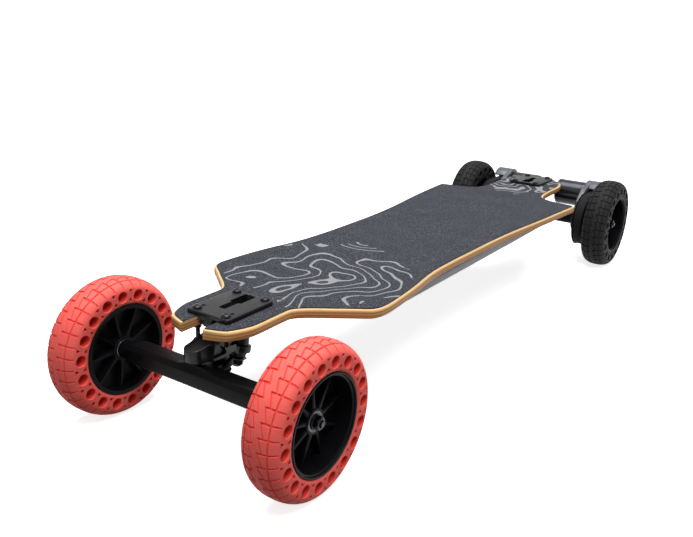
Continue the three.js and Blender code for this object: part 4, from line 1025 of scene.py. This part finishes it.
def arm_mesh():
    """The arm between the base plate and the hanger, with a dished nose over the axle."""
    near, far = seat_ends(LOWER_RING, LOWER_SEAT)
    boss_top = (near[1] + far[1]) / 2 + BOSS_LENGTH
    _, ring_height, ring_tilt = UPPER_RING
    ring_line = ring_height + 13 * math.tan(math.radians(ring_tilt))
    half = ARM_HALF_WIDTH
    side = side_prism([
        (-12, 25), near, far, (45, ring_line - 4), (58, ring_height - 4), (58, ring_height + 4),
        (45, ring_line + 4), (38, boss_top - 3), (23, boss_top), (18, 45), (6, 44), (-4, 42.7),
        (-22.4, 40), (-23, 39), (-22.4, 27)], -half, half)
    plan = prism([*arc(11, 180, 360, 28, 0, -12), *mirrored([
        (11, -6), (12.5, -1), (half, 2), (half, 34), (13, 38), (9.6, 44), (9, 48), (9, 58)])], -6, 68)
    body = soft(boolean("INTERSECT", side, plan), 0.9, 2, 28)
    stadium = prism([*arc(9.2, 180, 360, 24, 0, -12), *arc(9.2, 0, 180, 24, 0, 3)], 30, 60)
    dish = boolean("INTERSECT", stadium, side_prism([
        (-30, 38), (-22.4, 39.1), (-4, 41.8), (6, 43.1), (14, 43.8), (14, 70), (-30, 70)], -half, half))
    arch = rounded_outline([(1, 26), (4, 35.5), (9, 38.4), (14, 38.2), (19, 34), (23, 26)], 2, 3)
    arches = [side_prism(arch, low, low + 8) for low in (-18.5, 10.5)]
    ring_rooms = [on_kingpin(rod(RING_RADIUS + GAP, low, high, 48), UPPER_RING)
                  for low, high in ((RING_HALF, RING_ROOM), (-RING_ROOM, -RING_HALF))]
    boss = on_kingpin(rod(9.5, LOWER_SEAT, LOWER_SEAT + BOSS_LENGTH, 48, 0.8), LOWER_RING)
    post = moved(turned([
        (0, 30), (4.6, 30), (4.6, 45), (2.8, 49), (2.8, 63.4), (2.2, 64.5), (0, 64.5)], 32),
        0, UPPER_PIVOT)
    return cut(joined(cut(body, dish, *arches, *ring_rooms), on_kingpin(ring_mesh(), UPPER_RING), boss, post),
               on_kingpin(ring_hole(), UPPER_RING),
               on_kingpin(rod(KINGPIN_RADIUS + GAP, 0, 60, 40), LOWER_RING),
               on_kingpin(rod(7.6, LOWER_HEAD - GAP, 60, 40), LOWER_RING),
               moved(rod(PIVOT_CUP_RADIUS, 23, 28, 32), 0, LOWER_PIVOT))


def hanger_mesh(end):
    """The front beam keeps its section up to the wheels; the rear one turns round for the mounts."""
    def section(x, share):
        """The beam's section at x, from its seven sided middle to a round collar."""
        ring = []
        for y, z in rounded_outline(BEAM_SECTION, 2.2, 3):
            angle = math.atan2(z - BEAM_MIDDLE[1] * (1 - share), y - BEAM_MIDDLE[0] * (1 - share))
            ring.append((x, y + (COLLAR_RADIUS * math.cos(angle) - y) * share,
                         z + (COLLAR_RADIUS * math.sin(angle) - z) * share))
        return ring

    straight = 94 if end < 0 else 44
    steps = [(0, 0), (0.15, 0.08), (0.5, 0.5), (0.85, 0.92), (1, 1)]
    spots = [(-straight - BEAM_BLEND * t, share) for t, share in reversed(steps)]
    spots += [(straight + BEAM_BLEND * t, share) for t, share in steps]
    beam = loft([section(x, share) for x, share in spots])
    rib = prism([(-56, 4), (56, 4), (56, 6), (9, 20.5), (-9, 20.5), (-56, 6)], 4, 12)
    rib = soft(spun(rib, 90, "X"), 0.7, 2)
    collars = along_x(turned(both_ways([
        (COLLAR_RADIUS, 91), (11, 97), (11, COLLAR_END - 0.5), (10.6, COLLAR_END), (0, COLLAR_END)]), 64))
    ring_place, ring_height, _ = LOWER_RING
    web = soft(block((-10, 0, ring_height - 2.8), (10, ring_place, ring_height + 2.8)), 1.2, 2)
    pin = moved(turned([
        (0, 0), (4.8, 0), (4.4, 14), (3.4, 19), (2.8, 21.5), (2.8, 26), (2.1, 27), (0, 27)], 32),
        0, LOWER_PIVOT)
    return cut(joined(beam, collars, rib, web, on_kingpin(ring_mesh(), LOWER_RING), pin),
               on_kingpin(ring_hole(), LOWER_RING), along_x(rod(AXLE_RADIUS + GAP, -126, 126, 32)))


for place, end in (("front", -1), ("rear", 1)):
    arm, hanger = place + "_arm_body", place + "_hanger_body"
    upper_pin = on_kingpin(kingpin_mesh(UPPER_SEAT, UPPER_NUT, UPPER_HEAD), UPPER_RING)
    lower_pin = on_kingpin(kingpin_mesh(LOWER_SEAT, LOWER_SEAT, LOWER_HEAD), LOWER_RING)
    upper_pair = on_kingpin(bushings_mesh(*UPPER_BUSHINGS), UPPER_RING)
    lower_pair = on_kingpin(bushings_mesh(*LOWER_BUSHINGS), LOWER_RING)
    # Base plates and arms take the lighter copy of the black coat, whose lighter colour is painted sheen.
    for name, mesh, body, slot, node, look in (
            ("base_plate_cast", base_plate_mesh(), "board", "black_metal", "baseplate", "black_metal_painted_sheen"),
            ("upper_kingpin_bolt", upper_pin, "board", "dark_steel", "upper_kingpin", None),
            ("upper_bushing_pair", upper_pair, "board", "urethane", "upper_bushings", None),
            ("arm_cast", arm_mesh(), arm, "black_metal", "arm", "black_metal_painted_sheen"),
            ("lower_kingpin_bolt", lower_pin, arm, "dark_steel", "lower_kingpin", None),
            ("lower_bushing_pair", lower_pair, arm, "urethane", "lower_bushings", None),
            ("hanger_cast", hanger_mesh(end), hanger, "black_metal", "hanger", None),
            ("axle_threaded", along_x(axle_mesh()), hanger, "steel", "axle", "dark_steel")):
        piece(f"{place}_{name}", at_truck(mesh, end), body, slot, f"{place}_{node}", look=look)
    for k, (x, s) in enumerate(BOLT_PLACES):
        node = f"{place}_truck_bolt_{k + 1}"
        bolt = at_truck(moved(truck_bolt_mesh(), x, s), end)
        piece(node + "_cross_head", bolt, "board", "dark_steel", node)


# Belt drive, drawn with the axle at 0, 0 and distances from the board's middle along Z

def pulley_mesh(teeth, pitch_radius, flange_radius, flange_bore, sides, *cuts):
    """A toothed band with its cuts, between two flanges."""
    outline = []
    for k in range(teeth):
        for share, low in ((0.0, 0), (0.4, 0), (0.52, 1), (0.86, 1)):
            radius = pitch_radius - PITCH_LINE - low * TOOTH_DEPTH
            angle = math.tau * (k + share) / teeth
            outline.append((radius * math.cos(angle), radius * math.sin(angle)))
    band = prism(outline, PULLEY_START + 0.2, PULLEY_END - 0.2)
    return joined(cut(band, *cuts), *[disc(flange_bore, flange_radius, low, high, sides, 0.5, 0.3)
                                      for low, high in FLANGES])


def wheel_pulley_mesh():
    floor, beyond = PULLEY_END - 4.5, PULLEY_END + 2
    ways = around(moved(rod(4.2, PULLEY_START, beyond, 28), 22.5), 9)
    screws = around(moved(rod(2.6, PULLEY_END - 8, PULLEY_END - 2.6, 6), 32), 5, 11)
    body = pulley_mesh(WHEEL_TEETH, WHEEL_PITCH, 50.5, 42, 96, rod(41, 80, floor, 96),
                       rod(13, PULLEY_START, beyond, 64), merged(ways))
    drum = turned([(30, floor), (34, floor), (34, 125.2), (33.5, 125.7), (30.5, 125.7), (30, 125.2)], 72)
    return joined(body, drum, merged(screws))


def motor_pulley_mesh():
    body = pulley_mesh(MOTOR_TEETH, MOTOR_PITCH, 14.7, 0, 64)
    return at_motor(joined(body, rod(SHAFT_RADIUS, MOUNT_INNER - 19.7, PULLEY_END, 36, 0.3)))


def loop_lean(wheel_radius, motor_radius):
    """Half the angle, in degrees, over which a loop round both circles lies on the motor's."""
    return math.degrees(math.acos((wheel_radius - motor_radius) / DRIVE_SPACING))


def belt_loop(offset):
    large, small = WHEEL_PITCH + offset, MOTOR_PITCH + offset
    lean = loop_lean(large, small)
    return [*arc(small, DRIVE_ANGLE - lean, DRIVE_ANGLE + lean, 20, MOTOR_Y, MOTOR_Z),
            *arc(large, DRIVE_ANGLE + lean, DRIVE_ANGLE - lean + 360, 72)]


def belt_mesh():
    """A toothed loop: its teeth are drawn only where it lies on the wheel's pulley."""
    start = BAND_START + 0.8
    end = start + BELT_WIDTH
    back = soft(prism(belt_loop(BELT_BACK), start, end), 0.35, 2, 50)
    band = cut(back, prism(belt_loop(GAP - PITCH_LINE), start - 2, end + 2))
    inside = WHEEL_PITCH - PITCH_LINE + GAP
    lean = loop_lean(WHEEL_PITCH, MOTOR_PITCH)
    tooth = prism([(inside + 0.4, -0.85), (inside + 0.4, 0.85), (inside - 1.3, 0.6), (inside - 1.3, -0.6)],
                  start, end)
    angles = [360 * (k + 0.69) / WHEEL_TEETH for k in range(WHEEL_TEETH)]
    return joined(band, merged([spun(tooth.copy(), angle) for angle in angles
                                if 2 < (angle - (DRIVE_ANGLE + lean)) % 360 < 358 - 2 * lean]))


def motor_mount_mesh():
    """A plate clamped on the hanger, with a hood over the motor's pulley."""
    radius, low, high = MOUNT_END_RADIUS, MOUNT_INNER - 2, MOUNT_OUTER + 2
    lean = loop_lean(CLAMP_RADIUS, radius)
    crest = [(MOTOR_Y + a * radius, MOTOR_Z + u * radius)
             for a, u in ((-0.429, 0.884), (-0.956, 0.7), (-1.385, 0.574))]
    outline = [*arc(radius, DRIVE_ANGLE - lean, DRIVE_ANGLE + lean - 14, 36, MOTOR_Y, MOTOR_Z), *crest,
               (0, 1.56 * CLAMP_RADIUS), *arc(CLAMP_RADIUS, DRIVE_ANGLE + lean, DRIVE_ANGLE - lean + 360, 36)]
    plate = soft(prism(outline, MOUNT_INNER, MOUNT_OUTER), 0.8, 2, 40)
    hood = prism([*arc(radius, -35, 142, 44), *arc(radius - 3, 142, -35, 44)], MOUNT_OUTER - 0.3, HOOD_END)
    hood = soft(at_motor(hood), 0.7, 2, 50)
    pocket = moved(rod(3.6, MOUNT_OUTER - 1.6, 92, 28), MOTOR_SCREW_CIRCLE)
    pockets = at_motor(merged(around(pocket, 4, 45)))
    split = block((-1.1, -CLAMP_RADIUS - 4, low), (1.1, -12, high))
    lighten = rounded_outline([(21, 3), (38, 16), (27, 31), (12, 21)], 4, 5)
    return cut(joined(plate, hood), rod(COLLAR_RADIUS + GAP, low, high, 64), at_motor(rod(8, low, high, 48)),
               pockets, split, prism(lighten, MOUNT_OUTER - 2.2, 92))


def mount_screws():
    head = turned([(0, 87.0), (3.1, 87.0), (3.1, 89.1), (2.8, 89.5), (0, 89.5)], 28)
    head = cut(head, rod(1.6, 88.2, 92, 6))
    return at_motor(merged(around(moved(head, MOTOR_SCREW_CIRCLE), 4, 45)))


def motor_mesh():
    start, end, r = MOTOR_START, MOUNT_INNER - GAP, MOTOR_RADIUS
    body = turned([
        (0, start), (8, start), (8.6, start + 0.6), (r - 3.2, start + 0.6), (r - 1.2, start + 1.2),
        (r, start + 2.6), (r, 28), (r - 0.9, 28.3), (r - 0.9, 29.3), (r, 29.6), (r, 72), (r - 0.7, 72.3),
        (r - 0.7, 73.3), (r, 73.6), (r, end - 2), (r - 0.6, end - 0.6), (r - 2, end), (0, end)], 96)
    way = rounded_outline([(11, -2.6), (20.5, -4.6), (20.5, 4.6), (11, 2.6)], 1.4, 3)
    ways = around(prism(way, start - 2, start + 5), 8, 10)
    return at_motor(cut(body, merged(ways), rod(SHAFT_RADIUS + GAP, 60, 90, 36)))


for place, side in (("left", -1), ("right", 1)):
    wheel, rotor, hanger = f"rear_{place}_wheel", place + "_motor_rotor", "rear_hanger_body"
    for name, mesh, body, slot, nodes, look in (
            ("wheel_pulley_toothed", wheel_pulley_mesh(), wheel, "black_plastic", ["wheel_pulley"], None),
            ("belt_toothed", belt_mesh(), hanger, "belt_rubber", ["belt"], None),
            ("motor_mount_milled", motor_mount_mesh(), hanger, "grey_metal", ["motor_mount"], "mount_metal"),
            ("motor_mount_screws", mount_screws(), hanger, "dark_steel", [], None),
            ("motor_can", motor_mesh(), hanger, "grey_metal", ["motor"], "motor_case"),
            ("motor_pulley_toothed", motor_pulley_mesh(), rotor, "steel", ["motor_pulley"], None)):
        piece(f"{place}_{name}", on_drive_side(mesh, side), body, slot,
              *[f"{place}_{node}" for node in nodes], look=look)


# Enclosure under the deck

def tray_form(wall, top):
    """The outside of the tray with no wall, or the room inside a wall."""
    low, floor_half, half = TRAY_FLOOR + wall, TRAY_FLOOR_HALF_WIDTH, TRAY_HALF_WIDTH
    levels = []
    for reach, inset, z in (
            (floor_half - 2.4, TRAY_SLOPE + 2.4, low), (floor_half - 0.8, TRAY_SLOPE + 0.8, low + 0.3),
            (floor_half + 0.8, TRAY_SLOPE - 0.6, low + 1.2), (half - 1.8, 1.4, TRAY_SHOULDER - 1.6),
            (half - 0.4, 0.3, TRAY_SHOULDER + 0.2), (half, 0, TRAY_SHOULDER + 2), (half, 0, top)):
        corners = rectangle(wall - reach, TRAY_FRONT + inset + wall, reach - wall, TRAY_REAR - inset - wall)
        levels.append([(x, y, z) for x, y in rounded_outline(corners, 9, 6)])
    return loft(levels)


def on_side_wall(mesh, y):
    return moved(along_x(mesh), -TRAY_HALF_WIDTH, y, SIDE_PIECE_HEIGHT)


def on_rear_wall(mesh):
    return moved(spun(mesh, -90, "X"), GLAND_X, TRAY_REAR, SIDE_PIECE_HEIGHT)


tray = cut(tray_form(0, DECK_BOTTOM + GAP), tray_form(TRAY_WALL, DECK_BOTTOM + 4))
lowered_deck = moved(deck_loft(0, DECK_BOTTOM, DECK_TOP, DECK_EDGE_ROUND, 12.0), 0, 0, -2.6)
ribs = [block((x - 1.6, TRAY_FRONT + 40, TRAY_FLOOR - 4), (x + 1.6, TRAY_REAR - 40, TRAY_FLOOR + 0.7))
        for x in (-50, -25, 0, 25, 50)]
tray = cut(tray, lowered_deck, merged(ribs), on_side_wall(rod(3.9, -6, 6, 32), BUTTON_Y),
           on_side_wall(rod(3.3, -6, 6, 32), PORT_Y), on_rear_wall(rod(3.5, -6, 6, 32)))
piece("enclosure_tray", tray, "board", "case_plastic", "enclosure", smooth=40)

button = turned([
    (0, -1.6), (2.4, -1.6), (3.2, -1.3), (3.6, -0.7), (3.6, 3.2), (4.5, 3.2), (4.5, 3.9), (3.6, 3.9),
    (3.6, 6.4), (0, 6.4)], 48)
button = cut(button, turned([(1.6, -3), (2.0, -3), (2.0, -1.35), (1.6, -1.35)], 40))
piece("power_button_domed", on_side_wall(button, BUTTON_Y), "button_body", "black_plastic", "power_button")
port = turned([(1.1, -1.1), (3.5, -1.1), (3.8, -0.8), (3.8, -0.3), (3.0, -0.3), (3.0, 12), (1.1, 12)], 40)
piece("charge_port_socket", on_side_wall(port, PORT_Y), "board", "steel", "charge_port")
cover = on_side_wall(turned([
    (0, -2.8), (3.7, -2.8), (4.3, -2.5), (4.4, -2.0), (4.4, -1.5), (4.1, -1.4), (0, -1.4)], 48), PORT_Y)
tab = soft(block((-105.5, PORT_Y, 42), (-104.4, PORT_Y + CAP_LENGTH, 47)), 0.3, 2)
knuckle = moved(rod(1.1, 42, 47, 24, 0.2), -104.4, PORT_Y + CAP_LENGTH)
piece("charge_port_cap_moulded", joined(cover, tab, knuckle), "cap_body", "seal", "charge_port_cap")
gland = turned([
    (1.6, -9.1), (3.2, -9.1), (3.2, 0.3), (4.2, 0.3), (4.5, 0.6), (4.5, 1.4), (4.1, 1.9), (1.9, 1.9),
    (1.6, 1.6)], 40)
piece("cable_gland_turned", on_rear_wall(gland), "board", "black_plastic", "cable_gland")

for node, look in (("enclosure_gasket", "seal"), ("battery_pack", "wrap"),
                   ("motor_controller", "dark_steel")):
    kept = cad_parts[node]
    kept.data.materials.clear()
    kept.data.materials.append(LOOKS[look])


# Floor, light and camera, in metres

FLOOR_REACH = 9
FLOOR_GLOW = 0.79
AMBIENT = 0.22
LAMPS = (("key", (1.0, -1.1, 2.6), 52, 1.6), ("top", (-0.3, 0.3, 2.6), 68, 2.0))
LAMP_AIM = (0, 0, 0.1)
CAMERA_PLACE = (0.54523, -1.03534, 0.47117)
AZIMUTH, ELEVATION, ROLL = map(math.radians, (33.492, 18.675, 2.184))
LENS = 40.85
SENSOR_WIDTH = 36


def floor_look():
    """White to the camera, with the object's shadow, and a dimmer grey that lights the object."""
    sheet = Sheet("floor_white")
    sheet.set(colour=paint(236, 236, 237), rough=0.9, specular=0.1,
              normal=sheet.bump(sheet.noise(300.0, 3.0), 0.05, 0.0002))
    glow = sheet.node("Emission", {"Color": WHITE, "Strength": FLOOR_GLOW})
    both = sheet.node("AddShader", {0: sheet.shader.outputs[0], 1: glow.outputs[0]})
    bounce = sheet.node("BsdfDiffuse", {"Color": paint(68, 68, 68)})
    choice = sheet.node("MixShader", {0: sheet.background_rays(), 1: bounce.outputs[0], 2: both.outputs[0]})
    sheet.feed(sheet.out.inputs[0], choice.outputs[0])
    return sheet.material


corners = rectangle(-FLOOR_REACH, -FLOOR_REACH, FLOOR_REACH, FLOOR_REACH)
floor = bpy.data.objects.new("floor", mesh_of([(x, y, 0) for x, y in corners], [(0, 1, 2, 3)]))
floor.data.materials.append(floor_look())
SCENE.collection.objects.link(floor)

world = bpy.data.worlds.new("studio")
SCENE.world = world
air = Nodes(world)
ambient, white = (air.node("Background", {"Color": WHITE, "Strength": strength}).outputs[0]
                  for strength in (AMBIENT, 1.0))
choice = air.node("MixShader", {0: air.background_rays(), 1: ambient, 2: white})
air.node("OutputWorld", {0: choice.outputs[0]})

for name, place, power, size in LAMPS:
    data = bpy.data.lights.new(name, "AREA")
    data.energy = power
    data.shape = "DISK"
    data.size = size
    lamp = bpy.data.objects.new(name, data)
    lamp.location = place
    lamp.rotation_mode = "QUATERNION"
    lamp.rotation_quaternion = (Vector(LAMP_AIM) - Vector(place)).to_track_quat("-Z", "Y")
    SCENE.collection.objects.link(lamp)

ahead = Vector((-math.sin(AZIMUTH) * math.cos(ELEVATION), math.cos(AZIMUTH) * math.cos(ELEVATION),
                -math.sin(ELEVATION)))
level_right = Vector((math.cos(AZIMUTH), math.sin(AZIMUTH), 0))
level_up = level_right.cross(ahead)
right = math.cos(ROLL) * level_right + math.sin(ROLL) * level_up
up = -math.sin(ROLL) * level_right + math.cos(ROLL) * level_up
camera = bpy.data.objects.new("camera", bpy.data.cameras.new("camera"))
camera.data.lens = LENS
camera.data.sensor_width = SENSOR_WIDTH
camera.data.sensor_fit = "HORIZONTAL"
camera.data.clip_end = 60
camera.matrix_world = Matrix.Translation(CAMERA_PLACE) @ Matrix((right, up, -ahead)).transposed().to_4x4()
SCENE.collection.objects.link(camera)
SCENE.camera = camera
SCENE.view_settings.view_transform = "Standard"
